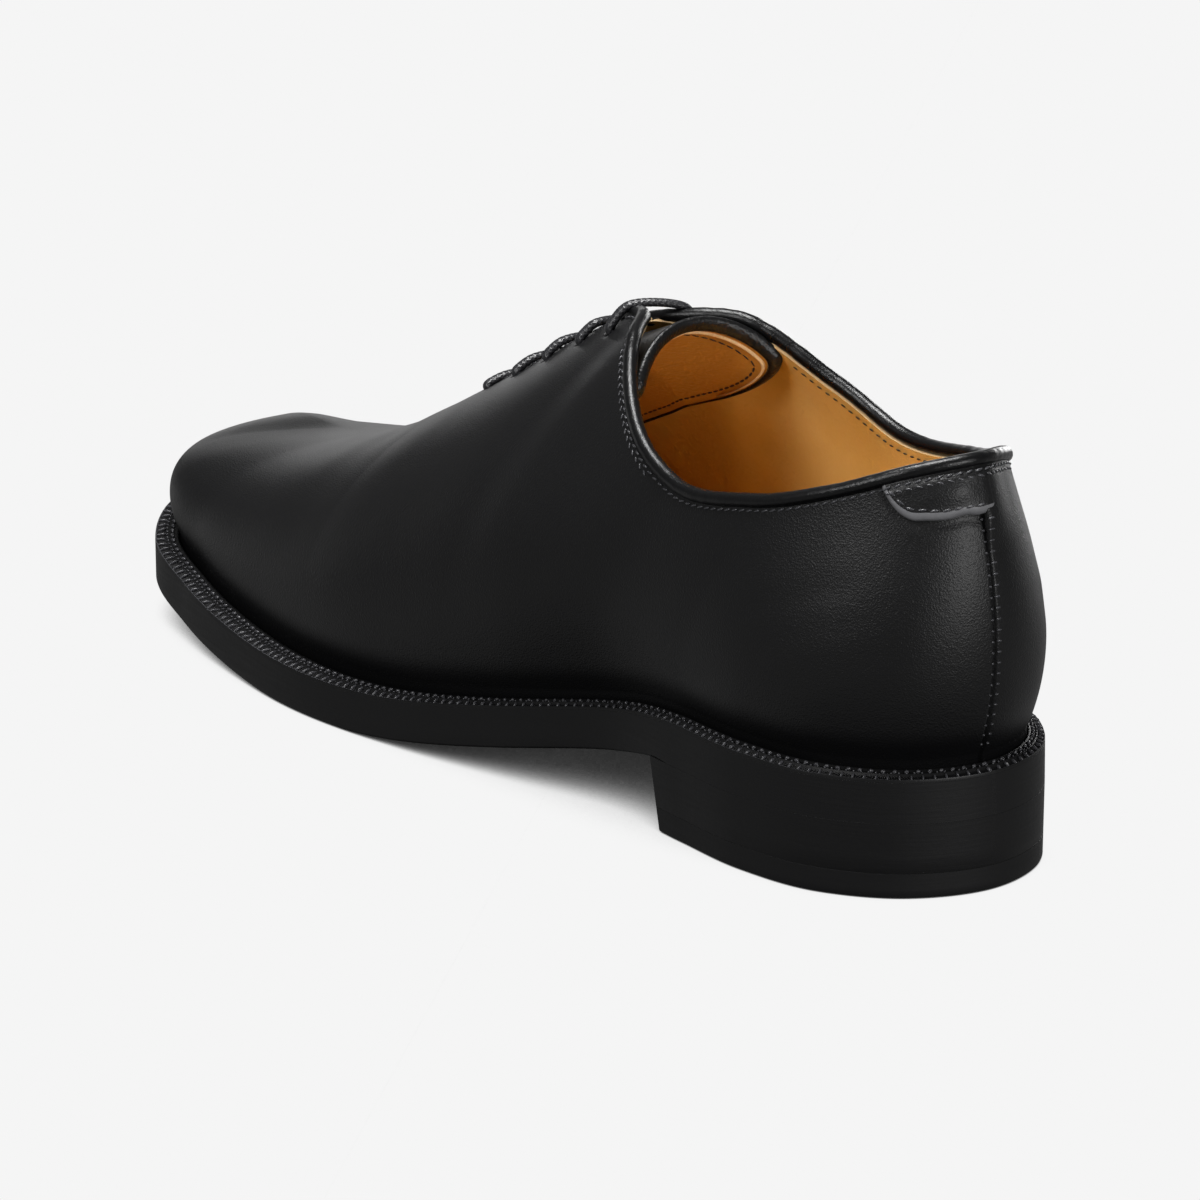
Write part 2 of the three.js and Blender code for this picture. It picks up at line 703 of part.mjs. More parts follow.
function tongueRim(across, lift) {
  const turn = THREE.MathUtils.degToRad(RIM_TURN) * across;
  const out = TONGUE_THICK * (lift - 0.5);
  return new THREE.Vector3(
    RIM_CENTRE.x * HALF_WIDTH + (RIM_HALF + out) * Math.sin(turn),
    RIM_CENTRE.y * LENGTH - RIM_DROOP * Math.sin(turn) ** 2,
    RIM_CENTRE.z * BACK_HEIGHT + (RIM_RISE + out) * Math.cos(turn),
  );
}

function tonguePoint(along, across, lift) {
  if (along <= TONGUE_COVERED) return coveredTongue(along / TONGUE_COVERED, across, lift);
  const beyond = (along - TONGUE_COVERED) / (1 - TONGUE_COVERED);
  return coveredTongue(1, across, lift).lerp(tongueRim(across, lift), beyond);
}

function tongueGeometry() {
  const level = (lift) => (along, across) => tonguePoint(along, 1 - across * 2, lift);
  return slab(TONGUE_STEPS, TONGUE_STEPS, [level(0), level(1)]);
}

// Lace bars: each comes up through a left eyelet, crosses the throat and goes down on the right
function laceBarGeometry(row) {
  const depth = EYELET_SETBACK * row.setback;
  const half = (side) => {
    const hole = wallPoint(side, row.at, depth);
    const out = wallNormal(side, row.at, depth);
    const edge = wallPoint(side, row.at, 0);
    const inward = edge.clone().sub(hole).normalize();
    const ride = LACE_RADIUS + GAP * 2;
    return [
      hole.clone().addScaledVector(out, -WALL * 0.6),
      hole.clone().addScaledVector(out, 0.2),
      hole.clone().addScaledVector(out, ride * 0.8).addScaledVector(inward, LACE_RADIUS * 0.7),
      hole.clone().addScaledVector(out, ride).addScaledVector(inward, LACE_RADIUS * 2),
      edge.clone().addScaledVector(out, ride),
    ];
  };
  const path = new THREE.CatmullRomCurve3([...half(LEFT), ...half(RIGHT).reverse()], false, 'centripetal');
  const section = new THREE.Shape();
  section.absarc(0, 0, LACE_RADIUS, 0, Math.PI * 2);
  const options = { extrudePath: path, steps: LACE_STEPS, curveSegments: 4 };
  const geometry = new THREE.ExtrudeGeometry(section, options);
  return tidy(geometry);
}

// Materials
const BLACK_CALF = { color: 0x17171a, roughness: 0.38, metalness: 0 };
const BLACK_EDGE = { color: 0x121214, roughness: 0.5, metalness: 0 };
const BLACK_RUBBER = { color: 0x101011, roughness: 0.75, metalness: 0 };
const TAN_LINING = { color: 0xb27a3a, roughness: 0.6, metalness: 0 };
const BLACK_LACE = { color: 0x1c1c1f, roughness: 0.8, metalness: 0 };

const shoe = new THREE.Group();

function addPiece(name, geometry, look) {
  const mesh = new THREE.Mesh(geometry, new THREE.MeshStandardMaterial(look));
  mesh.name = name;
  shoe.add(mesh);
}

addPiece('outsole', outsoleGeometry(), BLACK_EDGE);
addPiece('heel_stack', heelStackGeometry(), BLACK_EDGE);
addPiece('top_lift', topLiftGeometry(), BLACK_RUBBER);
addPiece('welt', weltGeometry(), BLACK_EDGE);
addPiece('insole', insoleGeometry(), TAN_LINING);
addPiece('upper', punchedUpper(), BLACK_CALF);
addPiece('collar_binding', bindingGeometry(), BLACK_CALF);
addPiece('back_tail', tailGeometry(), BLACK_CALF);
addPiece('tongue', tongueGeometry(), BLACK_CALF);
EYELETS.forEach((row, k) => addPiece(`lace_bar_${k + 1}`, laceBarGeometry(row), BLACK_LACE));

// The origin is under the middle of the shoe's box, on the floor
const box = new THREE.Box3().setFromObject(shoe);
const middle = box.getCenter(new THREE.Vector3());
shoe.position.set(-middle.x, -middle.y, -box.min.z);

export default shoe;
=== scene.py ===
# %% [markdown]
# A whole cut oxford is a dress shoe whose upper is a single piece of calf, lasted over a last and
# closed by one short seam at the heel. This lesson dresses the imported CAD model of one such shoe, a
# left one. Everything is worked out from the same sizes and the same few tables as the CAD, because
# leather, lining, binding and welt all follow one surface and have to fit each other closely.

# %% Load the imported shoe
import math

import bpy
import numpy as np
from mathutils import Matrix


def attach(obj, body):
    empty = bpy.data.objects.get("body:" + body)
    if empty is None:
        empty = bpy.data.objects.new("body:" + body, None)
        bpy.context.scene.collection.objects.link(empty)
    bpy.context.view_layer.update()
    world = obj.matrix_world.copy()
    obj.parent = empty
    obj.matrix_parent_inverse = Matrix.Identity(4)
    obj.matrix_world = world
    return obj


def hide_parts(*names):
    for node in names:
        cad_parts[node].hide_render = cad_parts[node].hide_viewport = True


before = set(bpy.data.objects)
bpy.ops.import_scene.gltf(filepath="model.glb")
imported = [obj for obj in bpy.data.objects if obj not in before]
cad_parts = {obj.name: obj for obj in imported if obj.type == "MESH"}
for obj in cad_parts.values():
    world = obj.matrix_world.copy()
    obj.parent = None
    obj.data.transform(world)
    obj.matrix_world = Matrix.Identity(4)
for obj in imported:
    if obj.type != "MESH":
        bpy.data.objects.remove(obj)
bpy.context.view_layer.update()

# %% [markdown]
# The sizes are in millimetres, as a shoemaker writes them, and y = 0 is the heel's back. The packed
# frame puts its origin under the middle of the shoe's box, so ORIGIN is added when a mesh is made.

# %% Sizes of the shoe
ORIGIN = np.array([2.338, -151.945, 0.0])
LENGTH = 305.0
HALF_WIDTH = 51.0
BACK_HEIGHT = 99.0
SOLE_THICK = 9.5
WALL_THICK = 2.2
WELT_THICK = 3.0
WELT_LEDGE = 6.0
WELT_LIP = 0.02
HEEL_LENGTH = 77.5
HEEL_HEIGHT = 17.4
TOP_LIFT = 5.7
HEEL_TAPER = 0.4
BREAST_HOLLOW = 4.0
BREAST_LEAN = 3.0
TREAD_START = 181.0
TREAD_LENGTH = 25.0
TOE_SPRING = 13.3
GAP = 0.3
SOCK_GAP = 0.5
CORNER = 0.46
THROAT = 0.62
LEFT = -1
RIGHT = 1
print("sole", LENGTH, "mm long and", 2 * HALF_WIDTH, "mm wide at the ball")


def table(columns, *rows):
    """Rows of numbers under named columns."""
    return {name: np.array(column, float) for name, column in zip(columns.split(), zip(*rows))}


# %% [markdown]
# Shoe shapes are drawn from a few measured stations with a fair curve through them. These tables are
# those stations. The sole's outline gives the distance of each side from the axis, and "at" is the
# share of the way along a side, from the heel's back (0) to the tip of the toe (1).

# %% Stations of the sole and the upper
OUTLINE = table(
    "y left right",
    (0.0, 0.0, 0.0),
    (0.02, 0.365, 0.355),
    (0.073, 0.625, 0.605),
    (0.148, 0.724, 0.7),
    (0.23, 0.716, 0.655),
    (0.312, 0.7, 0.585),
    (0.42, 0.848, 0.615),
    (0.535, 0.98, 0.78),
    (0.65, 1.045, 0.92),
    (0.752, 0.99, 0.95),
    (0.85, 0.882, 0.86),
    (0.93, 0.735, 0.62),
    (0.981, 0.45, 0.36),
    (1.0, -0.09, 0.09),
)
LEDGE = table(
    "at left right",
    (0.0, 0.66, 0.66),
    (0.15, 0.66, 0.66),
    (0.28, 0.53, 0.45),
    (0.38, 0.5, 0.42),
    (0.5, 0.77, 0.7),
    (0.62, 0.97, 0.93),
    (0.8, 1.0, 1.0),
    (1.0, 1.07, 1.07),
)
TOP_EDGE = table(
    "at half middle y z",
    (0.0, 0.0, 0.0, 0.0246, 1.0),
    (0.08, 0.247, 0.0, 0.044, 0.979),
    (0.16, 0.471, 0.0, 0.091, 0.919),
    (0.24, 0.6, 0.0, 0.154, 0.865),
    (0.32, 0.627, 0.0, 0.243, 0.843),
    (0.38, 0.545, 0.0, 0.31, 0.929),
    (0.43, 0.278, 0.0, 0.38, 1.063),
    (CORNER, 0.055, 0.0, 0.4164, 1.075),
    (0.5, 0.051, 0.0, 0.482, 0.973),
    (0.56, 0.043, 0.0, 0.557, 0.845),
    (0.6, 0.026, 0.0, 0.6136, 0.7505),
    (THROAT, 0.0, 0.0, 0.6426, 0.703),
    (0.7, 0.0, 0.016, 0.7066, 0.598),
    (0.8, 0.0, 0.049, 0.7869, 0.504),
    (0.9, 0.0, 0.078, 0.859, 0.4535),
    (1.0, 0.0, 0.088, 0.9069, 0.4465),
)
SECTION = table(
    "at flare foot slope top",
    (0.0, 22, 0.37, 72, 0.36),
    (0.16, 24, 0.39, 76, 0.34),
    (0.26, 20, 0.38, 70, 0.32),
    (0.36, 26, 0.38, 66, 0.32),
    (0.43, 26, 0.4, 45, 0.35),
    (0.48, 24, 0.42, 34, 0.34),
    (0.56, 22, 0.43, 22, 0.34),
    (THROAT, 20, 0.43, 8, 0.35),
    (0.7, 17, 0.44, 0, 0.39),
    (0.8, 20, 0.44, 0, 0.42),
    (0.9, 32, 0.5, 0, 0.47),
    (1.0, 30, 0.51, 0, 0.42),
)
TOP_NAMES = ("half", "middle", "y", "z")
NEAR_CORNER_SHIFT = 0.04
CORNER_CUTS = table("s deep wide", (CORNER, 0.7, 0.012), (-CORNER, 4.4, 0.026))
AXIS = table(
    "at x y",
    (0.0, 0.0, 0.151),
    (0.24, 0.0, 0.184),
    (CORNER, 0.0, 0.436),
    (THROAT, 0.0, 0.643),
    (1.0, 0.088, 0.908),
)
print(len(OUTLINE["y"]), "stations of the sole,", len(SECTION["at"]), "sections of the upper")

# %% [markdown]
# One smooth curve runs through a column of a table. It keeps the chosen end slopes, so both sides of
# the shoe meet without a corner at the heel and at the toe.


# %% A smooth curve through stations
def fair(rows, key, column, at, first=None, last=None):
    x, y = rows[key], rows[column]
    step = np.diff(x)
    rate = np.diff(y) / step
    slope = np.empty(len(x))
    slope[1:-1] = (step[:-1] * rate[1:] + step[1:] * rate[:-1]) / (step[:-1] + step[1:])
    slope[0] = rate[0] if first is None else first
    slope[-1] = rate[-1] if last is None else last
    at = np.clip(np.asarray(at, float), x[0], x[-1])
    k = np.clip(np.searchsorted(x, at, side="right") - 1, 0, len(x) - 2)
    t = (at - x[k]) / step[k]
    start = (1 + 2 * t) * (1 - t) ** 2 * y[k] + t * (1 - t) ** 2 * step[k] * slope[k]
    end = t * t * (3 - 2 * t) * y[k + 1] + t * t * (t - 1) * step[k] * slope[k + 1]
    return start + end


def run_along(points):
    """The way along a line of points to each of them."""
    return np.r_[0, np.cumsum(np.linalg.norm(np.diff(points, axis=0), axis=1))]


def ramp(value, low, high):
    t = np.clip((np.asarray(value, float) - low) / (high - low), 0, 1)
    return t * t * (3 - 2 * t)


def sole_bottom(y):
    waist = np.clip((y - HEEL_LENGTH) / (TREAD_START - HEEL_LENGTH), 0, 1)
    toe = np.maximum((y - TREAD_START - TREAD_LENGTH) / (LENGTH - TREAD_START - TREAD_LENGTH), 0)
    return HEEL_HEIGHT * (1 - waist) ** 1.7 * (1 + 0.7 * waist) + TOE_SPRING * toe**1.8


def sole_top(y):
    bend = [sole_bottom(y + step) for step in (-9, -3, 3, 9)]
    return sum(bend) / len(bend) + SOLE_THICK


# %% The two sides of the sole
def side_line(side):
    rows = {
        "x": side * OUTLINE["left" if side == LEFT else "right"] * HALF_WIDTH,
        "y": OUTLINE["y"] * LENGTH,
    }
    rows["run"] = run_along(np.stack([rows["x"], rows["y"]], 1))
    run = np.linspace(0, rows["run"][-1], 1601)
    x = fair(rows, "run", "x", run, side, -side)
    y = fair(rows, "run", "y", run, 0, 0)
    length = run_along(np.stack([x, y], 1))
    even = np.linspace(0, length[-1], 1601)
    x, y = np.interp(even, length, x), np.interp(even, length, y)
    ahead = np.stack([np.gradient(x), np.gradient(y)], -1)
    ahead /= np.linalg.norm(ahead, axis=1, keepdims=True)
    ahead[0], ahead[-1] = (side, 0), (-side, 0)
    at = np.linspace(0, 1, 1601)
    return {"at": at, "x": x, "y": y, "ax": ahead[:, 0], "ay": ahead[:, 1], "length": length[-1]}


SIDE_LINES = {LEFT: side_line(LEFT), RIGHT: side_line(RIGHT)}
print("side of the sole:", [round(line["length"], 1) for line in SIDE_LINES.values()], "mm")


def side_point(side, at, inset=0.0):
    line = SIDE_LINES[side]
    x, y, ax, ay = (np.interp(at, line["at"], line[name]) for name in ("x", "y", "ax", "ay"))
    return np.stack([x - inset * side * ay, y + inset * side * ax], -1)


def ledge(side, at):
    return WELT_LEDGE * fair(LEDGE, "at", "left" if side == LEFT else "right", at)


# %% [markdown]
# The upper is a family of section curves. Each starts on the welt, leans out a little, bulges over the
# last and turns in to the collar, the facing or the ridge of the vamp. A Bezier curve per station is
# enough, and any number of them can be asked for, so the mesh is as fine as it has to be.


# %% Section curves of the upper
def top_point(side, at):
    half, middle, y, z = (fair(TOP_EDGE, "at", name, at, None if name == "half" else 0) for name in TOP_NAMES)
    half = np.where(at < THROAT, np.maximum(half, 0), 0)
    if side == LEFT:
        middle = middle + NEAR_CORNER_SHIFT * np.exp(-(((at - 0.438) / 0.028) ** 2))
    return np.stack([side * half + middle, y, z], -1) * np.array([HALF_WIDTH, LENGTH, BACK_HEIGHT])


def ridge_fall(at):
    low, high = np.maximum(at - 0.001, THROAT), np.clip(at + 0.001, THROAT + 0.001, 1)
    rise = (fair(TOP_EDGE, "at", "z", high) - fair(TOP_EDGE, "at", "z", low)) * BACK_HEIGHT
    return rise / ((fair(TOP_EDGE, "at", "y", high) - fair(TOP_EDGE, "at", "y", low)) * LENGTH)


def foot_point(side, at):
    flat = side_point(side, at, ledge(side, at))
    return np.concatenate([flat, (sole_top(flat[..., 1]) + GAP)[..., None]], -1)


def section(side, at):
    """Four control points of the curve from the welt's top to the top edge."""
    at = np.asarray(at, float)
    foot = foot_point(side, at) + np.array([0, 0, WELT_THICK + GAP])
    top = top_point(side, at)
    axis = [np.interp(at, AXIS["at"], AXIS[name]) * unit for name, unit in (("x", HALF_WIDTH), ("y", LENGTH))]
    out = foot[..., :2] - np.stack(axis, -1)
    out /= np.linalg.norm(out, axis=-1, keepdims=True)
    flare, slope = (np.radians(fair(SECTION, "at", name, at)) for name in ("flare", "slope"))
    chord = np.linalg.norm(top - foot, axis=-1)
    rise = np.concatenate([out * np.sin(flare)[..., None], np.cos(flare)[..., None]], -1)
    on_vamp = ramp(at, THROAT - 0.04, THROAT + 0.04)
    fall = -np.sin(slope) + on_vamp * ridge_fall(at) * out[..., 1] * np.cos(slope)
    drop = np.concatenate([out * np.cos(slope)[..., None], fall[..., None]], -1)
    low = foot + rise * (chord * fair(SECTION, "at", "foot", at))[..., None]
    high = top + drop * (chord * fair(SECTION, "at", "top", at))[..., None]
    return foot, low, high, top


# %% Points of the upper's surface
def fold_round(s):
    """s runs round the shoe: 0 at the heel's seam, up to 1 on the left side and down to -1 on the right."""
    return (np.asarray(s, float) + 1) % 2 - 1


def wall(s, v):
    s, v = np.broadcast_arrays(fold_round(s), np.asarray(v, float))
    points = np.empty(s.shape + (3,))
    for side, here in ((LEFT, s >= 0), (RIGHT, s < 0)):
        foot, low, high, top = section(side, np.abs(s[here]))
        t = v[here][..., None]
        start, end = (1 - t) ** 2 * ((1 - t) * foot + 3 * t * low), t * t * (3 * (1 - t) * high + t * top)
        points[here] = start + end
    return points


def trim(s):
    """How far the edge is cut below the smooth line: both front corners of the collar are rounded off."""
    cuts = zip(*CORNER_CUTS.values())
    return sum(deep * np.exp(-(((fold_round(s) - at) / wide) ** 2)) for at, deep, wide in cuts)


def v_below(s, depth):
    """The place on each section a given depth below its cut edge."""
    s, depth = np.broadcast_arrays(fold_round(s), np.asarray(depth, float))
    depth = depth + trim(s)
    v = np.empty(s.shape)
    for side, here in ((LEFT, s >= 0), (RIGHT, s < 0)):
        _, _, high, top = section(side, np.abs(s[here]))
        v[here] = 1 - depth[here] / (3 * np.linalg.norm(top - high, axis=-1))
    return v


def edge_point(s):
    return wall(s, v_below(s, 0.0))


def unit(vectors):
    return vectors / np.maximum(np.linalg.norm(vectors, axis=-1, keepdims=True), 1e-9)


def wall_out(s, v):
    along = wall(s + 0.003, v) - wall(s - 0.003, v)
    up = wall(s, np.minimum(v + 0.008, 1)) - wall(s, np.minimum(v + 0.008, 1) - 0.016)
    return unit(np.cross(up, along))


def on_wall(s, depth, lift=0.0):
    """A point a given depth below the top edge, lifted off the leather, and the way out there."""
    v = v_below(s, depth)
    out = wall_out(s, v)
    return wall(s, v) + out * np.asarray(lift, float)[..., None], out


print("upper's highest point:", np.round(wall(np.array([CORNER]), np.array([1.0]))[0], 1))

# %% [markdown]
# Meshes are made from arrays of points. These few helpers join equal points, close a sheet into a
# solid of real thickness, join rings into a tube, and turn the result into a Blender object in metres.


# %% Helpers that make meshes
def same_points(points):
    """Which points stay when equal ones become one, and the new number of each old one."""
    _, first, back = np.unique(np.round(points, 4), axis=0, return_index=True, return_inverse=True)
    return first, back.ravel()


def grid_faces(rows, columns, wrap=False):
    faces = []
    for i in range(rows if wrap else rows - 1):
        m = (i + 1) % rows
        for j in range(columns - 1):
            faces.append((i * columns + j, i * columns + j + 1, m * columns + j + 1, m * columns + j))
    return faces


def point_normals(points, faces):
    normals = np.zeros_like(points)
    for size in (3, 4):
        some = np.array([face for face in faces if len(face) == size])
        if len(some):
            a, b, c, d = (points[some[:, k % size]] for k in (0, 1, 2, 3 if size == 4 else 0))
            across = np.cross(c - a, d - b) if size == 4 else np.cross(b - a, c - a)
            for k in range(size):
                np.add.at(normals, some[:, k], across)
    return unit(normals)


def blunt(run, reach, least):
    """A share that falls off roundly towards both ends of a tube, down to the root of least."""
    end = np.clip(np.minimum(run, run[-1] - run) / reach, 0, 1)
    return np.sqrt(np.clip(1 - (1 - end) ** 2, least, 1))


def ring_points(centre, side, up, wide, high, sides):
    """Rings of points round a line, whose half width and half height may change along it."""
    turns = [2 * math.pi * k / sides for k in range(sides)]
    spokes = [side * (wide * math.cos(t))[:, None] + up * (high * math.sin(t))[:, None] for t in turns]
    return np.stack([centre + spoke for spoke in spokes], 1)


def open_edges(faces):
    seen = {}
    for face in faces:
        for k, a in enumerate(face):
            seen[(a, face[(k + 1) % len(face)])] = True
    return [edge for edge in seen if (edge[1], edge[0]) not in seen]


def close_sheet(top, under, faces):
    """Closes two like sheets into a solid. Returns points, faces and which part each face is."""
    count = len(top)
    solid = [list(face) for face in faces] + [[k + count for k in reversed(face)] for face in faces]
    rim = [[b, a, a + count, b + count] for a, b in open_edges(faces)]
    part = [0] * len(faces) + [1] * len(faces) + [2] * len(rim)
    return np.concatenate([top, under]), solid + rim, part


def thicken(points, faces, outer, inner):
    """Closes one sheet into a solid between two offsets."""
    normals = point_normals(points, faces)
    return close_sheet(points + normals * outer[:, None], points + normals * inner[:, None], faces)


def tube_faces(rings, sides, closed):
    faces = []
    for i in range(rings if closed else rings - 1):
        m = (i + 1) % rings
        for j in range(sides):
            n = (j + 1) % sides
            faces.append([i * sides + j, m * sides + j, m * sides + n, i * sides + n])
    if not closed:
        faces.append(list(range(sides)))
        faces.append([(rings - 1) * sides + j for j in reversed(range(sides))])
    return faces


def add_object(name, data):
    piece = bpy.data.objects.new(name, data)
    bpy.context.scene.collection.objects.link(piece)
    return piece


def new_object(name, points, faces, materials, part=None, uv=None, smooth=40, attributes=None):
    mesh = bpy.data.meshes.new(name)
    mesh.from_pydata(((np.asarray(points) + ORIGIN) / 1000).tolist(), [], [list(map(int, f)) for f in faces])
    for material in materials:
        mesh.materials.append(material)
    if part is not None:
        mesh.polygons.foreach_set("material_index", np.asarray(part, np.int32))
    if uv is not None:
        corners = np.empty(len(mesh.loops), np.int32)
        mesh.loops.foreach_get("vertex_index", corners)
        mesh.uv_layers.new(name="surface").data.foreach_set("uv", np.asarray(uv, np.float32)[corners].ravel())
    for key, values in (attributes or {}).items():
        mesh.attributes.new(key, "FLOAT", "POINT").data.foreach_set("value", np.asarray(values, np.float32))
    mesh.shade_smooth()
    mesh.set_sharp_from_angle(angle=math.radians(smooth))
    mesh.update()
    return add_object(name, mesh)


def finish_piece(piece, slot, *nodes):
    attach(piece, "root")
    if nodes:
        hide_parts(*nodes)
    triangles = sum(len(face.vertices) - 2 for face in piece.data.polygons)
    print(piece.name, "has", triangles, "triangles")
    return piece


# %% [markdown]
# Materials come next. Each is a small node tree on one Principled shader. Black aniline calf is
# smooth and satin: light goes deep into the dye, so its colour is nearly black and its form is told by
# broad, soft highlights. Its pores and fine creases are a tenth of a millimetre deep or less.


# %% Helpers that make materials
def tint(code):
    """An sRGB hex value as linear red, green, blue and alpha."""
    values = [int(code[k : k + 2], 16) / 255 for k in (1, 3, 5)]
    return tuple(v / 12.92 if v <= 0.04045 else ((v + 0.055) / 1.055) ** 2.4 for v in values) + (1.0,)


def add_node(tree, kind, links=None, **settings):
    """One node with its settings. A key of links is a socket's name or number, its value another socket."""
    node = tree.nodes.new(kind)
    for key, value in settings.items():
        if key.startswith("in_"):
            socket = key[3:].replace("_", " ")
            node.inputs[int(socket) if socket.isdigit() else socket].default_value = value
        else:
            setattr(node, key, value)
    for key, socket in (links or {}).items():
        tree.links.new(socket, node.inputs[key])
    return node


def new_material(name, **sockets):
    material = bpy.data.materials.new(name)
    material.use_nodes = True
    shader = material.node_tree.nodes["Principled BSDF"]
    for key, value in sockets.items():
        shader.inputs[key.replace("_", " ")].default_value = value
    return material, material.node_tree, shader


def mm(size):
    """The scale of a texture whose features are that many millimetres wide, on coordinates in metres."""
    return 1000.0 / size


def object_place(tree):
    return add_node(tree, "ShaderNodeTexCoord").outputs["Object"]


def noise(tree, place, size, detail, **settings):
    """Clouds, folds or fibres of a size in millimetres."""
    settings |= {"in_Scale": mm(size), "in_Detail": detail}
    return add_node(tree, "ShaderNodeTexNoise", {"Vector": place}, **settings).outputs["Fac"]


def pores(tree, place, size):
    node = add_node(tree, "ShaderNodeTexVoronoi", {"Vector": place}, feature="SMOOTH_F1", in_Scale=mm(size))
    return node.outputs["Distance"]


def product(tree, one, other):
    return add_node(tree, "ShaderNodeMath", {0: one, 1: other}, operation="MULTIPLY").outputs[0]


def spread(tree, share, low, high):
    return add_node(tree, "ShaderNodeMapRange", {"Value": share}, in_3=low, in_4=high).outputs[0]


def between(tree, share, dark, light):
    """A colour between two sRGB values."""
    node = add_node(tree, "ShaderNodeMixRGB", {"Fac": share}, in_Color1=tint(dark), in_Color2=tint(light))
    return node.outputs[0]


def bump(tree, height, strength, deep, **links):
    """A raised pattern whose full depth is given in millimetres."""
    links["Height"] = height
    return add_node(tree, "ShaderNodeBump", links, in_Strength=strength, in_Distance=deep / 1000).outputs[0]


def plug_in(tree, shader, **sockets):
    for key, socket in sockets.items():
        tree.links.new(socket, shader.inputs[key.replace("_", " ")])


# %% Black calf
def black_calf(name, colour, rough, pore, crease):
    """Aniline calf, dyed through and polished: fine pores, faint creases, a thin coat of wax."""
    material, tree, shader = new_material(name, IOR=1.45, Coat_Weight=0.06, Coat_Roughness=0.3)
    place = object_place(tree)
    cloud = noise(tree, place, 26, 3.0)
    grain = product(tree, pores(tree, place, pore), noise(tree, place, pore * 1.9, 4.0))
    stretched = add_node(tree, "ShaderNodeMapping", {"Vector": place}, in_Scale=(0.6, 0.35, 1.7)).outputs[0]
    lines = noise(tree, stretched, 2.6, 5.0, in_Distortion=0.6)
    worn = add_node(tree, "ShaderNodeAttribute", attribute_name="wrinkle").outputs["Fac"]
    # "foot" is 1 just above the welt: there the calf's reflection is turned down, a painted shade.
    foot = add_node(tree, "ShaderNodeAttribute", attribute_name="foot").outputs["Fac"]
    plug_in(
        tree,
        shader,
        Base_Color=between(tree, cloud, colour, "#0d0d0e"),
        Roughness=spread(tree, cloud, rough - 0.04, rough + 0.05),
        Specular_IOR_Level=spread(tree, foot, 0.42, 0.05),
        Normal=bump(tree, product(tree, lines, worn), crease, 0.2, Normal=bump(tree, grain, 1.0, pore * 0.4)),
    )
    return material


calf = black_calf("black_aniline_calf", "#0e0e0f", 0.42, 0.36, 0.16)
bead_calf = black_calf("rolled_calf_edge", "#09090a", 0.28, 0.26, 0.0)
rim_calf = black_calf("pebbled_calf_rim", "#0b0b0c", 0.38, 0.7, 0.0)
print("made", calf.name, bead_calf.name, rim_calf.name)


# %% Tan lining, raw edges, edge dressing, rubber and thread
def tan_lining(name, colour, light):
    """Vegetable tanned calf, neither dyed nor polished: soft clouds of tan and fine pores."""
    material, tree, shader = new_material(name, IOR=1.45, Specular_IOR_Level=0.4)
    place = object_place(tree)
    skin = noise(tree, place, 1.6, 6.0)
    plug_in(
        tree,
        shader,
        Base_Color=between(tree, noise(tree, place, 18, 5.0), colour, light),
        Roughness=spread(tree, skin, 0.42, 0.58),
        Normal=bump(tree, product(tree, pores(tree, place, 0.9), skin), 0.8, 0.3),
    )
    return material


def raw_edge():
    """The cut edge of the lining's leather, left without any finish: pale fibres."""
    name = "raw_cut_leather_edge"
    material, tree, shader = new_material(name, IOR=1.45, Specular_IOR_Level=0.2, Roughness=0.8)
    fibre = noise(tree, object_place(tree), 0.7, 4.0)
    colour = between(tree, fibre, "#d9ab70", "#f6dcae")
    plug_in(tree, shader, Base_Color=colour, Normal=bump(tree, fibre, 0.6, 0.2))
    return material


def dressed_edge(name, colour, rough, streak, light="#121213"):
    """Black dressing rubbed to a polish along the edge: faint streaks run round the shoe. With grey colours
    it is a painted highlight instead.
    """
    material, tree, shader = new_material(name, IOR=1.45, Specular_IOR_Level=0.4)
    surface = add_node(tree, "ShaderNodeUVMap", uv_map="surface").outputs[0]
    drawn = add_node(tree, "ShaderNodeMapping", {"Vector": surface}, in_Scale=(0.05, 1.0, 1.0)).outputs[0]
    lines, speck = noise(tree, drawn, 0.8, 5.0), noise(tree, object_place(tree), 1.1, 6.0)
    both = add_node(tree, "ShaderNodeMixRGB", {"Color1": lines, "Color2": speck}, in_Fac=0.4).outputs[0]
    plug_in(
        tree,
        shader,
        Base_Color=between(tree, both, colour, light),
        Roughness=spread(tree, both, rough - 0.1, rough + 0.14),
        Normal=bump(tree, both, streak, 0.12),
    )
    return material


def waxed_thread(name, colour, rough, light="#363639"):
    """Twisted thread or braided cord drawn through wax: fine fibres under a soft gloss."""
    material, tree, shader = new_material(name, IOR=1.5, Specular_IOR_Level=0.5)
    fibre = noise(tree, object_place(tree), 0.35, 3.0)
    plug_in(
        tree,
        shader,
        Base_Color=between(tree, fibre, colour, light),
        Roughness=spread(tree, fibre, rough - 0.1, rough + 0.1),
        Normal=bump(tree, fibre, 0.5, 0.1),
    )
    return material


lining = tan_lining("tan_lining_leather", "#dba950", "#eec67c")
# The tongue's lining is the same tan leather, painted darker as shade.
tongue_lining_painted_shade = tan_lining("tan_tongue_lining", "#bf8636", "#cb9546")
cut_edge = raw_edge()
# The tail's bevel is painted light grey as its highlight.
bevel_painted_highlight = dressed_edge("folded_edge_painted_highlight", "#6a6a6c", 0.36, 0.6, "#88888b")
sole_edge = dressed_edge("black_sole_edge_dressing", "#0c0c0d", 0.5, 0.5)
welt_leather = dressed_edge("black_welt_leather", "#060607", 0.42, 0.7)
rubber = dressed_edge("black_heel_rubber", "#0c0c0d", 0.55, 0.35)
# The welt's lip is painted lighter grey as a thin highlight along its edge.
lip_painted_highlight = dressed_edge("welt_lip_painted_highlight", "#101011", 0.3, 0.9, "#5a5a5e")
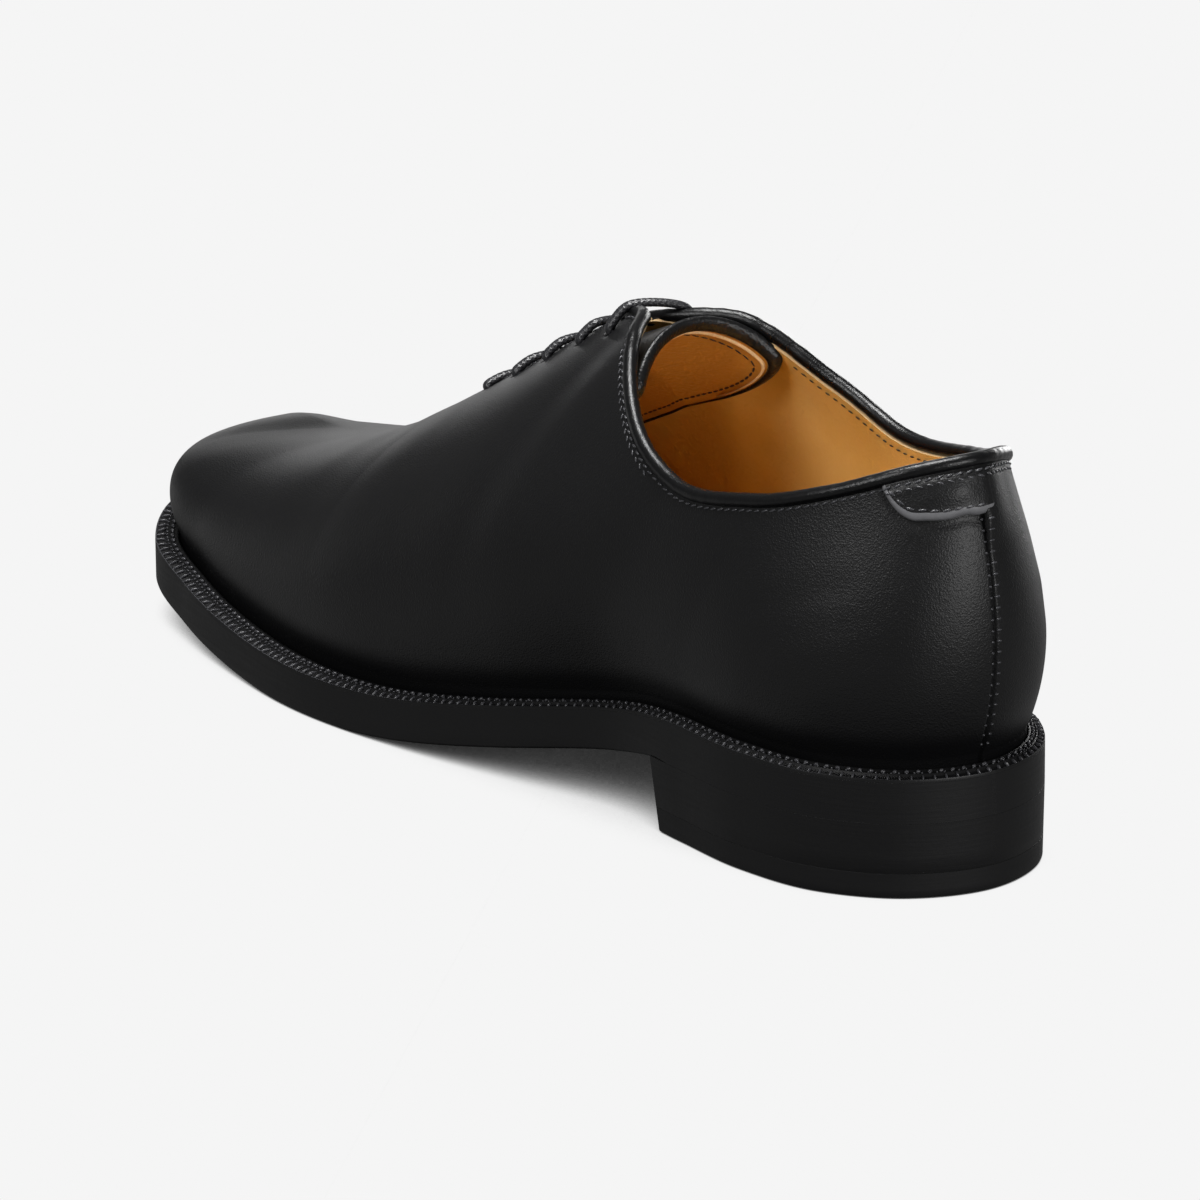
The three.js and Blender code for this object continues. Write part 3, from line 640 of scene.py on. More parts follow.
# The fibre texture is the thread's own; its light grey paints glints on the stitches.
thread = waxed_thread("black_waxed_thread_painted_glints", "#1a1a1c", 0.22, "#5a5a5e")
lace_cord = waxed_thread("black_waxed_lace", "#151517", 0.34)
thread_painted_glints = waxed_thread("glazed_welt_thread_painted_glints", "#121214", 0.2, "#5c5c60")
brown_thread = waxed_thread("brown_lining_thread", "#2a1406", 0.6)

# %% [markdown]
# New leather on a last is almost smooth. The few troughs that the real upper has are listed here:
# each one is a line on the surface with a width and a depth in millimetres, and the leather sinks or
# swells softly along it. The seam at the heel is such a trough too. A share of 1 along the quarter is
# about ROUND_QUARTER millimetres at the height of the tail.

# %% Troughs and swells of the leather
FOLDS = table(
    "s1 v1 s2 v2 wide deep",
    (0.690, 0.95, 0.650, 0.74, 9.0, 0.12),
    (-0.690, 0.95, -0.650, 0.74, 9.0, 0.12),
    (0.120, 0.62, 0.200, 0.50, 5.0, 0.16),
    (0.100, 0.50, 0.190, 0.36, 5.5, 0.15),
    (0.080, 0.40, 0.150, 0.27, 5.0, 0.13),
    (-0.110, 0.60, -0.200, 0.47, 5.0, 0.16),
    (-0.090, 0.44, -0.170, 0.33, 5.5, 0.14),
)
TAIL = table(
    "at depth",
    (-0.022, 13.4),
    (0.0, 13.75),
    (0.009, 13.8),
    (0.02, 13.3),
    (0.042, 13.6),
    (0.062, 13.0),
    (0.08, 11.9),
    (0.095, 8.6),
    (0.103, 5.6),
    (0.108, 3.4),
)
SEAM_WIDE = 0.45
SEAM_DEEP = 0.75
TAIL_THICK = 1.45
TAIL_DEPTH = 13.6
ROUND_QUARTER = 385.0
GROOVE_DEEP = 0.45


def lap_height(depth):
    """How far the tail stands off the quarter: it is skived thin under the binding."""
    return TAIL_THICK * (0.3 + 0.7 * ramp(depth, 2.6, 5.2))


def relief(s, points):
    """How far the leather stands out from its plain surface, in millimetres."""
    out = np.zeros(len(points))
    for s1, v1, s2, v2, wide, deep in zip(*FOLDS.values()):
        a, b = wall(np.array([s1, s2]), np.array([v1, v2]))
        run = np.clip(((points - a) @ (b - a)) / ((b - a) @ (b - a)), -0.3, 1.3)
        gap = np.linalg.norm(points - a - run[:, None] * (b - a), axis=1)
        fade = ramp(run, -0.3, 0.2) * (1 - ramp(run, 0.8, 1.3))
        out -= deep * fade * (1 - (gap / wide) ** 2) * np.exp(-((gap / wide) ** 2))
    below = np.linalg.norm(points - edge_point(s), axis=1)
    seam = np.exp(-((points[:, 0] / SEAM_WIDE) ** 2)) * (points[:, 1] < 60)
    seam *= ramp(below, TAIL_DEPTH - 2, TAIL_DEPTH + 3)
    lap = ramp(s, -0.06, -0.004) * (s < 0) * (1 - ramp(below, TAIL_DEPTH - 1, TAIL_DEPTH + 9))
    low = fair(TAIL, "at", "depth", np.clip(s, TAIL["at"][0], TAIL["at"][-1]))
    beside = np.exp(-(((below - low - 0.6) / 0.9) ** 2)) * ramp(s, -0.01, 0.004) * (1 - ramp(s, 0.1, 0.112))
    return out - SEAM_DEEP * seam + lap_height(below) * lap - GROOVE_DEEP * beside


print(len(FOLDS["deep"]), "folds, the deepest", FOLDS["deep"].max(), "mm")

# %% [markdown]
# The outer leather is a solid 1.2 mm thick. Its columns stand closer together at the seam, at the
# facing's corner and at the throat, where the form turns quickly. The facing's edge is turned under,
# so its last rows roll inwards.


# %% The calf upper
def columns_round(count):
    """Places round the shoe, denser where the form turns quickly. Both sides use the same shares."""
    fine = np.linspace(0, 1, 4001)
    dense = 1 + 5 * np.exp(-((fine / 0.006) ** 2)) + 2.2 * np.exp(-(((fine - CORNER) / 0.014) ** 2))
    dense += 1.5 * np.exp(-(((fine - THROAT) / 0.008) ** 2))
    total = np.r_[0, np.cumsum((dense[1:] + dense[:-1]) / 2)]
    at = np.interp(np.linspace(0, total[-1], count + 1), total, fine)
    for place in (CORNER, THROAT):
        at[np.argmin(np.abs(at - place))] = place
    return np.r_[at[:-1], -at[:0:-1]]


def rim_depth(s, depth):
    """Depth of a wall's rim under the collar's binding. It comes up to the edge at the facings."""
    return depth * (1 - ramp(np.abs(s), CORNER - 0.006, CORNER + 0.012))


def upper_sheet(count, rows, rim, last_rows):
    """A grid over the whole upper, joined along the ridge: its points, their s and v, and its faces."""
    s = columns_round(count)
    deep = rim_depth(s, rim)
    levels = [np.full(len(s), -1.0)]
    start = v_below(s, deep + last_rows[0])
    levels += [start * t for t in np.linspace(0, 1, rows)]
    levels += [v_below(s, deep + depth) for depth in last_rows[1:]]
    v = np.stack(levels, 1)
    around = np.repeat(s[:, None], v.shape[1], 1)
    points = wall(around, np.maximum(v, 0))
    for side, here in ((LEFT, s >= 0), (RIGHT, s < 0)):
        points[here, 0] = foot_point(side, np.abs(s[here]))
    faces = grid_faces(len(s), v.shape[1], wrap=True)
    stack = np.concatenate([points, around[..., None], np.maximum(v, 0)[..., None]], -1).reshape(-1, 5)
    first, back = same_points(stack[:, :3])
    kept = [[back[k] for k in face] for face in faces]
    kept = [face for face in kept if len(set(face)) == 4]
    return stack[first, :3], stack[first, 3], stack[first, 4], kept


CALF_THICK = 1.2
EDGE_ROLL = 0.85
points, s, v, faces = upper_sheet(272, 74, 1.2, (0.9, 0.62, 0.38, 0.2, 0.07, 0.0))
print("sheet of the upper:", len(points), "points")


# %% Roll the facing's edge, press the folds in and give the leather its thickness
def facing_roll(s, points):
    """How far the turned edge of a facing falls back behind its outer face."""
    below = np.linalg.norm(points - edge_point(s), axis=1)
    near = np.clip(1 - below / EDGE_ROLL, 0, 1)
    share = np.abs(s)
    where = ramp(share, CORNER - 0.012, CORNER + 0.004) * (1 - ramp(share, THROAT - 0.008, THROAT))
    return EDGE_ROLL * (1 - np.sqrt(1 - near**2)) * where


outer = relief(s, points) - facing_roll(s, points)
solid, solid_faces, part = thicken(points, faces, outer, outer.clip(max=0) - CALF_THICK)
back_quarter = np.exp(-(((np.abs(s) - 0.14) / 0.09) ** 2)) * np.exp(-(((v - 0.45) / 0.3) ** 2))
wrinkle = np.tile(0.25 + 0.75 * back_quarter, 2)
# foot marks the calf a few millimetres above the welt, fading out at the toe's tip; the calf material paints
# shade there by turning its reflection down.
above = points[:, 2] - sole_top(points[:, 1]) - WELT_THICK - 2 * GAP
foot = np.tile((1 - ramp(above, 3.0, 8.5)) * (1 - ramp(np.abs(s), 0.86, 0.95)), 2)
given = {"wrinkle": wrinkle, "foot": foot}
upper = new_object("calf_upper", solid, solid_faces, [calf], smooth=60, attributes=given)

# %% [markdown]
# The lining is a second, thinner leather inside the first. Its raw upper edge is left pale and stands
# a millimetre inside the rolled binding, where it shows as a cream line.

# %% The lining
points, s, v, faces = upper_sheet(240, 56, 2.4, (1.0, 0.5, 0.2, 0.0))
below = np.linalg.norm(points - edge_point(s), axis=1)
collar = 1 - ramp(np.abs(s), CORNER - 0.01, CORNER + 0.03)
deeper = 0.35 * ramp(below, 1, 9)
inner = -1.85 - deeper - (0.8 - deeper) * collar * (1 - ramp(below, 4.0, 16.0))
solid, solid_faces, part = thicken(points, faces, np.full(len(points), -CALF_THICK - 0.1), inner)
part = [2 if kind == 2 and solid[face[0], 2] > 60 else 1 for kind, face in zip(part, solid_faces)]
shoe_lining = new_object("shoe_lining", solid, solid_faces, [calf, lining, cut_edge], part=part, smooth=50)

# %% [markdown]
# Five pairs of plain eyelets are punched through both leathers. A Boolean modifier cuts all ten at
# once with one object of ten round punches, and it is applied so that the holes are in the mesh.

# %% Punch the eyelets
EYELETS = table(
    "left right setback",
    (0.589, -0.589, 6.2),
    (0.56, -0.56, 6.2),
    (0.526, -0.526, 6.2),
    (0.494, -0.494, 6.2),
    (0.47, -0.456, 8.06),
)
EYELET_RADIUS = 1.7


def spot(s, depth):
    """One point on the leather and the way out there."""
    (point,), (out,) = on_wall(np.array([s]), np.array([depth]))
    return point, out


def punches():
    points, faces = [], []
    for left, right, setback in zip(*EYELETS.values()):
        for s in (left, right):
            middle, out = spot(s, setback)
            side = unit(np.cross(out, [0, 1, 0]))
            other = np.cross(out, side)
            start = len(points)
            for lift in (-6, 3):
                for k in range(20):
                    turn = 2 * math.pi * k / 20
                    spoke = math.cos(turn) * side + math.sin(turn) * other
                    points.append(middle + out * lift + EYELET_RADIUS * spoke)
            ring = list(range(start, start + 20))
            faces.append(ring[::-1])
            faces.append([k + 20 for k in ring])
            faces += [[a, b, b + 20, a + 20] for a, b in zip(ring, ring[1:] + ring[:1])]
    return new_object("eyelet_punches", np.array(points), faces, [calf])


def apply_modifiers(piece):
    graph = bpy.context.evaluated_depsgraph_get()
    mesh = bpy.data.meshes.new_from_object(piece.evaluated_get(graph))
    piece.modifiers.clear()
    piece.data = mesh


cutter = punches()
for piece in (upper, shoe_lining):
    cut = piece.modifiers.new("eyelets", "BOOLEAN")
    cut.operation, cut.solver, cut.object = "DIFFERENCE", "MANIFOLD", cutter
    before = len(piece.data.vertices)
    apply_modifiers(piece)
    print(piece.name, "had", before, "points and has", len(piece.data.vertices))
bpy.data.objects.remove(cutter)
finish_piece(upper, "calf", "upper")
finish_piece(shoe_lining, "sock")

# %% [markdown]
# The collar is bound with a strip of calf rolled over a cord. It is a tube swept along the top edge.
# The real one is drawn round a curve by hand, so small gathers cross it where the curve is tight.

# %% The rolled binding
BEAD_HALF_WIDE = 1.75
BEAD_HALF_HIGH = 1.7
BEAD_DEPTH = 1.55
BEAD_SINK = 0.45
BEAD_END = CORNER + 0.028


def bead_rings(count, sides):
    s = np.linspace(BEAD_END, -BEAD_END, count)
    centre, out = on_wall(s, np.full(count, BEAD_DEPTH), np.full(count, -BEAD_SINK))
    ahead = unit(np.gradient(centre, axis=0))
    up = unit(np.cross(ahead, out))
    up *= np.sign(up[:, 2:3] + 1e-9)
    run = run_along(centre)
    rng = np.random.default_rng(7)
    gathers = np.interp(run, np.linspace(0, run[-1], 240), rng.normal(0, 1, 240))
    gathers *= 0.03 + 0.07 * ramp(np.abs(s), 0.38, 0.44)
    taper = blunt(run, 2.0, 0.02)
    taper *= 1 - 0.6 * ramp(s, CORNER + 0.002, BEAD_END) - 0.3 * ramp(-s, CORNER + 0.012, BEAD_END)
    wide, high = (BEAD_HALF_WIDE + gathers) * taper, (BEAD_HALF_HIGH + gathers) * taper
    return ring_points(centre, out, up, wide, high, sides), run


rings, run = bead_rings(420, 16)
faces = tube_faces(420, 16, False)
bead = new_object("collar_binding_roll", rings.reshape(-1, 3), faces, [bead_calf], smooth=70)
print("binding:", round(run[-1], 1), "mm long")
finish_piece(bead, "calf", "collar_binding")

# %% [markdown]
# The tail is the right quarter's end, which laps over the seam and is stitched down on the left. It
# is a thin sheet with a bevelled edge, skived thinner where the binding has to cover it. On the right
# it sinks into the quarter it belongs to.

# %% The tail over the back seam
def tail_surface(columns, rows):
    at = np.linspace(TAIL["at"][0], TAIL["at"][-1], columns)
    low = fair(TAIL, "at", "depth", at)
    edge = np.r_[0, 0.15, 0.4, 0.75, 1.2, 1.8]
    points = []
    for t in np.r_[edge, np.linspace(0, 1, rows)[1:] + 9]:
        depth = low - t if t < 9 else low - 1.8 - (low - 1.8 - 2.6) * (t - 9)
        inset = np.minimum(low - depth, (TAIL["at"][-1] - at) * ROUND_QUARTER * 0.9)
        pad = 0.5 * ramp(depth, 3.5, 8) * (1 - ramp(depth, 8, 12))
        pad = pad * ramp(at, 0.0, 0.03) * (1 - ramp(at, 0.03, 0.08))
        bevel = lap_height(depth) * np.sqrt(np.clip(1 - (1 - np.clip(inset / 1.7, 0, 1)) ** 2.2, 0, 1))
        lift = 0.09 + bevel + pad - 0.5 * (1 - ramp(at, -0.022, -0.006))
        points.append(on_wall(at, np.maximum(depth, 2.2), lift)[0])
    return np.stack(points, 1)


surface = tail_surface(150, 26)
flat = surface.reshape(-1, 3)
faces = [tuple(reversed(face)) for face in grid_faces(*surface.shape[:2])]
normals = point_normals(flat, faces)
if normals[:, 1].mean() > 0:
    faces = [tuple(reversed(face)) for face in faces]
solid, solid_faces, part = thicken(flat, faces, np.zeros(len(flat)), np.full(len(flat), -0.9))
row_of = np.arange(len(solid)) % len(flat) % surface.shape[1]
# The bevel's first rows take the grey painted highlight.
part = [int(min(row_of[k] for k in face) < 5 and solid[face[0], 0] < 3.0) for face in solid_faces]
uv = np.stack([solid[:, 0], solid[:, 2]], -1) / 1000
tail = new_object("tail_of_right_quarter", solid, solid_faces, [calf, bevel_painted_highlight], part=part, uv=uv, smooth=60)
finish_piece(tail, "calf", "back_tail")

# %% [markdown]
# Stitches repeat along a line, so they are made with Geometry Nodes. A row is a line of points that
# carries the way out of the leather. The tree resamples it by the stitch spacing, turns one small
# rounded stitch to the line and to the leather, and ends in plain mesh with its thread's material.
# Unrest turns each stitch a little at random, as a hand or a machine leaves them.


# %% A tree that sews a row
def sewing_tree():
    tree = bpy.data.node_groups.new("sewn_row", "GeometryNodeTree")
    face = tree.interface
    face.new_socket("Line", in_out="INPUT", socket_type="NodeSocketGeometry")
    for name in ("Spacing", "Length", "Width", "Height", "Lean", "Unrest"):
        face.new_socket(name, in_out="INPUT", socket_type="NodeSocketFloat")
    face.new_socket("Thread", in_out="INPUT", socket_type="NodeSocketMaterial")
    face.new_socket("Stitches", in_out="OUTPUT", socket_type="NodeSocketGeometry")
    source = add_node(tree, "NodeGroupInput").outputs
    line = add_node(tree, "GeometryNodeMeshToCurve", {0: source["Line"]})
    row = add_node(
        tree, "GeometryNodeResampleCurve", {0: line.outputs[0], "Length": source["Spacing"]}, mode="LENGTH"
    )
    out = add_node(tree, "GeometryNodeInputNamedAttribute", data_type="FLOAT_VECTOR", in_Name="out")
    wide = add_node(tree, "GeometryNodeInputNamedAttribute", data_type="FLOAT", in_Name="wide")
    tangent = add_node(tree, "GeometryNodeInputTangent")
    first = add_node(
        tree, "FunctionNodeAlignRotationToVector", {"Vector": tangent.outputs[0]}, axis="X", pivot_axis="AUTO"
    )
    second = add_node(
        tree, "FunctionNodeAlignRotationToVector", {"Rotation": first.outputs[0], "Vector": out.outputs[0]},
        axis="Z", pivot_axis="X",
    )
    lean = add_node(tree, "FunctionNodeAxisAngleToRotation", {"Angle": source["Lean"]}, in_Axis=(0, 0, 1))
    less = add_node(tree, "ShaderNodeMath", {0: source["Unrest"]}, operation="MULTIPLY", in_1=-1.0)
    limits = {"Min": less.outputs[0], "Max": source["Unrest"]}
    sway = add_node(tree, "FunctionNodeRandomValue", limits, data_type="FLOAT").outputs["Value"]
    roll = add_node(tree, "FunctionNodeAxisAngleToRotation", {"Angle": sway}, in_Axis=(0, 1, 0.6))
    turned = add_node(
        tree, "FunctionNodeRotateRotation", {"Rotation": second.outputs[0], "Rotate By": lean.outputs[0]},
        rotation_space="LOCAL",
    )
    dipped = add_node(
        tree, "FunctionNodeRotateRotation", {"Rotation": turned.outputs[0], "Rotate By": roll.outputs[0]},
        rotation_space="LOCAL",
    )
    stitch = add_node(tree, "GeometryNodeMeshUVSphere", in_Segments=8, in_Rings=6, in_Radius=0.5)
    local = add_node(
        tree, "ShaderNodeMath", {0: source["Length"], 1: wide.outputs["Attribute"]}, operation="MULTIPLY"
    )
    size = add_node(
        tree, "ShaderNodeCombineXYZ", {"X": local.outputs[0], "Y": source["Width"], "Z": source["Height"]}
    )
    places = {"Points": row.outputs[0], "Instance": stitch.outputs["Mesh"]}
    places |= {"Rotation": dipped.outputs[0], "Scale": size.outputs[0]}
    sewn = add_node(tree, "GeometryNodeInstanceOnPoints", places)
    real = add_node(tree, "GeometryNodeRealizeInstances", {0: sewn.outputs[0]})
    round_off = add_node(tree, "GeometryNodeSetShadeSmooth", {0: real.outputs[0]})
    named = add_node(tree, "GeometryNodeSetMaterial", {0: round_off.outputs[0], "Material": source["Thread"]})
    add_node(tree, "NodeGroupOutput", {0: named.outputs[0]})
    return tree


SEWING = sewing_tree()
print("sewing tree inputs:", [item.name for item in SEWING.interface.items_tree if item.in_out == "INPUT"])


# %% Sew a row
def sew(name, rows, yarn, slot, spacing, length, width, height, lean=0.0, unrest=4.0):
    """Rows are (points, outward directions) or (points, directions, widths), in mm and degrees."""
    mesh = bpy.data.meshes.new(name)
    places = np.concatenate([row[0] for row in rows])
    outs = np.concatenate([row[1] for row in rows])
    wides = np.concatenate([row[2] if len(row) > 2 else np.ones(len(row[0])) for row in rows])
    edges, start = [], 0
    for row in rows:
        edges += [(start + k, start + k + 1) for k in range(len(row[0]) - 1)]
        start += len(row[0])
    mesh.from_pydata(((places + ORIGIN) / 1000).tolist(), edges, [])
    outward = mesh.attributes.new("out", "FLOAT_VECTOR", "POINT")
    outward.data.foreach_set("vector", outs.astype(np.float32).ravel())
    mesh.attributes.new("wide", "FLOAT", "POINT").data.foreach_set("value", wides.astype(np.float32))
    piece = add_object(name, mesh)
    nodes = piece.modifiers.new("sewn row", "NODES")
    nodes.node_group = SEWING
    values = {
        "Spacing": spacing / 1000,
        "Length": length / 1000,
        "Width": width / 1000,
        "Height": height / 1000,
        "Lean": math.radians(lean),
        "Unrest": math.radians(unrest),
        "Thread": yarn,
    }
    for item in SEWING.interface.items_tree:
        if item.in_out == "INPUT" and item.name in values:
            nodes[item.identifier] = values[item.name]
    apply_modifiers(piece)
    for key in ("out", "wide"):
        if key in piece.data.attributes:
            piece.data.attributes.remove(piece.data.attributes[key])
    return finish_piece(piece, slot)


def wall_row(start, end, depth, lift, count=200):
    s = np.linspace(start, end, count)
    deep = np.interp(np.abs(s), *depth) if isinstance(depth, tuple) else np.full(count, depth)
    return on_wall(s, deep, lift(s, deep) if callable(lift) else np.full(count, lift))


# %% [markdown]
# The collar's row runs a few millimetres under the binding and rides over the tail. Near the facings
# a second row joins it. Where the needle goes in the leather is pulled down, so each stitch lies low
# with its ends under the surface.


# %% Rows round the collar and on the tail
def tail_lift(s, depth):
    low = fair(TAIL, "at", "depth", np.clip(s, TAIL["at"][0], TAIL["at"][-1]))
    over = (s > -0.02) & (s < 0.107) & (depth < low)
    right = ramp(s, -0.06, -0.004) * (s < 0)
    return np.where(over, lap_height(depth) + 0.1, lap_height(depth) * right) + 0.05


collar_depth = ([0.0, 0.1, 0.3, 0.4, 0.45, 0.475], [3.9, 3.9, 4.1, 3.9, 3.7, 3.4])
rows = [
    wall_row(0.472, 0.001, collar_depth, tail_lift, 500),
    wall_row(-0.001, -0.472, collar_depth, tail_lift, 500),
]
sew("collar_stitches", rows, thread, "lace", 2.3, 1.9, 0.6, 0.6, lean=14, unrest=8)
front_depth = ([0.3, 0.36, 0.45], [5.4, 5.2, 5.0])
rows = [wall_row(side * 0.35, side * 0.425, front_depth, 0.05) for side in (1, -1)]
sew("front_collar_stitches", rows, thread, "lace", 2.3, 1.6, 0.5, 0.42, lean=-28)
rows = [wall_row(0.1, 0.001, 5.2, tail_lift), wall_row(-0.001, -0.1, 5.2, tail_lift)]
sew("tail_top_stitches", rows, thread, "lace", 2.3, 1.6, 0.5, 0.42, lean=-20)

# %% The tail's own row
TAIL_ROW = table(
    "at depth",
    (0.006, 11.6),
    (0.025, 11.5),
    (0.048, 11.4),
    (0.069, 10.3),
    (0.081, 9.3),
    (0.0925, 6.6),
    (0.097, 5.3),
)
at = np.linspace(0.006, 0.097, 120)
row = on_wall(at, fair(TAIL_ROW, "at", "depth", at), np.full(120, TAIL_THICK + 0.14))
sew("tail_stitches", [row], thread, "lace", 2.5, 2.1, 0.6, 0.5, lean=8)

# %% [markdown]
# Below the tail the two ends of the calf are drawn together by short stitches across the seam, like
# the rungs of a ladder. They are wide at the top and narrow towards the welt.


# %% The back seam
def seam_line(v1, v2, offset, lift, widths):
    """A line beside the seam. On the right it rides over the root of the tail."""
    v = np.linspace(v1, v2, 160)
    out = wall_out(np.zeros(160), v)
    points = wall(np.zeros(160), v)
    below = np.linalg.norm(points - edge_point(np.zeros(160)), axis=1)
    lap = TAIL_THICK * (offset > 0) * (1 - ramp(below, TAIL_DEPTH - 1, TAIL_DEPTH + 9))
    points = points + out * (lift + lap)[:, None]
    points[:, 0] += offset
    return points, out, np.linspace(widths[0], widths[1], 160)


seam_top = float(v_below(np.zeros(1), np.array([15.0]))[0])
SEAM_PITCH = 2.43
rungs = seam_line(seam_top, 0.04, 0.95, 0.05, (1.0, 0.42))
dots = seam_line(seam_top, 0.04, -0.75, 0.0, (1.0, 0.8))
sew("back_seam_rungs", [rungs], thread_painted_glints, "lace", SEAM_PITCH, 1.9, 0.62, 0.7, lean=90, unrest=8)
sew("back_seam_dots", [dots], thread_painted_glints, "lace", SEAM_PITCH, 0.8, 0.6, 0.65, lean=90, unrest=8)

# %% Rows along the facings
facing_depth = ([0.46, 0.475, 0.5, 0.62], [3.4, 2.4, 2.1, 2.1])
rows = [wall_row(side * 0.478, side * 0.612, facing_depth, 0.04) for side in (1, -1)]
sew("facing_stitches", rows, thread, "lace", 2.2, 1.8, 0.5, 0.38, lean=10)

# %% [markdown]
# Inside, the same rows come through the lining in brown thread. Only the collar's row can be seen.


# %% Rows on the lining
def lining_row(start, end, depth, count=400):
    s = np.linspace(start, end, count)
    deep = np.full(count, depth)
    points, out = on_wall(s, deep, np.full(count, -3.0 + 0.75 * float(ramp(depth, 4.0, 16.0)) + 0.03))
    return points, -out


sew("lining_stitches", [lining_row(0.44, -0.4, 4.3)], brown_thread, "sock", 2.4, 1.5, 0.5, 0.3, lean=8)

# %% [markdown]
# The tongue lies under the facings and ends behind them in a rolled rim. It is a sheet with calf above
# and tan lining below. Its end is an arc across the foot, and its free corners are rounded.

# %% Shape of the tongue
TONGUE_THICK = 2.6
TONGUE_REACH = {LEFT: 0.43, RIGHT: 0.35}
TONGUE_SAG = 2.6
TONGUE_COVERED = 0.76
TONGUE_HALF_WIDE = 27.0
TONGUE_LONG = 66.0
RIM_HALF = 22.0
RIM_RISE = 19.2
RIM_TURN = {LEFT: 82, RIGHT: 79}
RIM_DROOP = 9.0
RIM_CENTRE = np.array([1.3, 114.3, 84.9])


def tongue_point(along, across, lift):
    """The tongue's surface: lift is 0 on the lining's side and 1 on the calf's side."""
    beyond = np.clip((along - TONGUE_COVERED) / (1 - TONGUE_COVERED), 0, 1)
    covered = np.clip(along / TONGUE_COVERED, 0, 1)
    reach = np.abs(across)
    s = np.sign(-across + 1e-12) * (THROAT - 0.012 + (CORNER + 0.022 - THROAT + 0.012) * covered)
    v = 1 - reach * np.where(across < 0, TONGUE_REACH[LEFT], TONGUE_REACH[RIGHT])
    sag = TONGUE_SAG * ramp(covered, 0.1, 1) * (1 - reach**2)
    drop = WALL_THICK + 2 * GAP + 0.5 + sag + TONGUE_THICK * (1 - lift)
    under = wall(s, v) - wall_out(s, np.minimum(v, 0.985)) * drop[..., None]
    under[..., 0] *= np.where(reach < 0.03, 0.5, 1.0)
    turn = np.radians(np.where(across < 0, RIM_TURN[LEFT], RIM_TURN[RIGHT]) * across)
    out = TONGUE_THICK * (lift - 0.5)
    rim = RIM_CENTRE + np.stack(
        [(RIM_HALF + out) * np.sin(turn), -RIM_DROOP * np.sin(turn) ** 2, (RIM_RISE + out) * np.cos(turn)], -1
    )
    return under * (1 - beyond)[..., None] + rim * beyond[..., None]


def tongue_end(across):
    """How far along the tongue's edge lies: the corners are rounded."""
    corner = np.clip((np.abs(across) - 0.72) / 0.28, 0, 1)
    return 1 - 0.16 * (1 - np.sqrt(1 - corner**2 + 1e-9))


# %% The tongue
def tongue_grid(rows, columns, lift):
    across = np.sin(np.linspace(-1, 1, columns) * math.pi / 2) * 0.999
    along = np.linspace(0, 1, rows)[:, None] * tongue_end(across)[None]
    return tongue_point(along, np.broadcast_to(across, along.shape), np.full(along.shape, lift))


top, under = (tongue_grid(70, 61, lift).reshape(-1, 3) for lift in (1.0, 0.0))
faces = grid_faces(70, 61)
if point_normals(top, faces)[:, 2].mean() < 0:
    faces = [tuple(reversed(face)) for face in faces]
solid, faces, part = close_sheet(top, under, faces)
part = [kind % 2 for kind in part]
tongue = new_object("tongue_leather", solid, faces, [calf, tongue_lining_painted_shade], part=part, smooth=50)
finish_piece(tongue, "calf", "tongue")


# %% [markdown]
# Calf is turned over a cord round the tongue's end, which gives a plump pebbled rim. Inside it the
# lining's pale cut edge shows as a thin line, and a brown row of stitches follows a little further in.


# %% The tongue's rim, its pale line and its stitches
def rim_line(inset, lift, back=0.0, count=240):
    """A line some millimetres inside the tongue's end. It can run back along the tongue's far side."""
    across = np.sin(np.linspace(-1, 1, count) * math.pi / 2)
    along = tongue_end(across)
    if back:
        along = np.r_[along, np.linspace(along[-1], 1 - back, 140)[1:]]
        across = np.r_[across, np.ones(139)]
    flat = np.stack([across * TONGUE_HALF_WIDE, along * TONGUE_LONG], -1)
    run = run_along(flat)
    even = np.linspace(inset, run[-1], len(flat))
    flat = np.stack([np.interp(even, run, flat[:, k]) for k in (0, 1)], -1)
    ahead = unit(np.gradient(flat, axis=0))
    closer = 1.2 - 0.6 * ramp(flat[:, 0] / TONGUE_HALF_WIDE, -0.6, 0.8)
    flat = flat + np.stack([ahead[:, 1], -ahead[:, 0]], -1) * (inset * closer)[:, None]
    across, along = flat[:, 0] / TONGUE_HALF_WIDE, flat[:, 1] / TONGUE_LONG
    lift = lift * (1 - ramp(np.arange(len(along)), 215, 262)) if back else np.full(len(along), lift)
    points = tongue_point(along, across, lift)
    inside = tongue_point(along - 0.02, across * 0.96, lift)
    above = tongue_point(along, across, lift + 0.5)
    return points, unit(points - inside), unit(above - points)


def rope(name, points, out, up, wide, high, sides, material, slot, taper=1.5, plump=None):
    run = run_along(points)
    shrink = blunt(run, taper, 0.03) * (1 if plump is None else plump)
    rings = ring_points(points, out, up, wide * shrink, high * shrink, sides)
    faces = tube_faces(len(points), sides, False)
    uv = np.stack([np.repeat(run / 1000, sides), np.tile(np.arange(sides) / 1000, len(points))], -1)
    piece = new_object(name, rings.reshape(-1, 3), faces, [material], smooth=80, uv=uv)
    if signed_volume(piece) < 0:
        piece.data.flip_normals()
    return finish_piece(piece, slot)


def signed_volume(piece):
    mesh = piece.data
    mesh.calc_loop_triangles()
    corners = np.empty(len(mesh.loop_triangles) * 3, np.int32)
    mesh.loop_triangles.foreach_get("vertices", corners)
    places = np.empty(len(mesh.vertices) * 3, np.float32)
    mesh.vertices.foreach_get("co", places)
    a, b, c = places.reshape(-1, 3)[corners].reshape(-1, 3, 3).transpose(1, 0, 2)
    return float(np.einsum("ij,ij->i", a, np.cross(b, c)).sum() / 6)


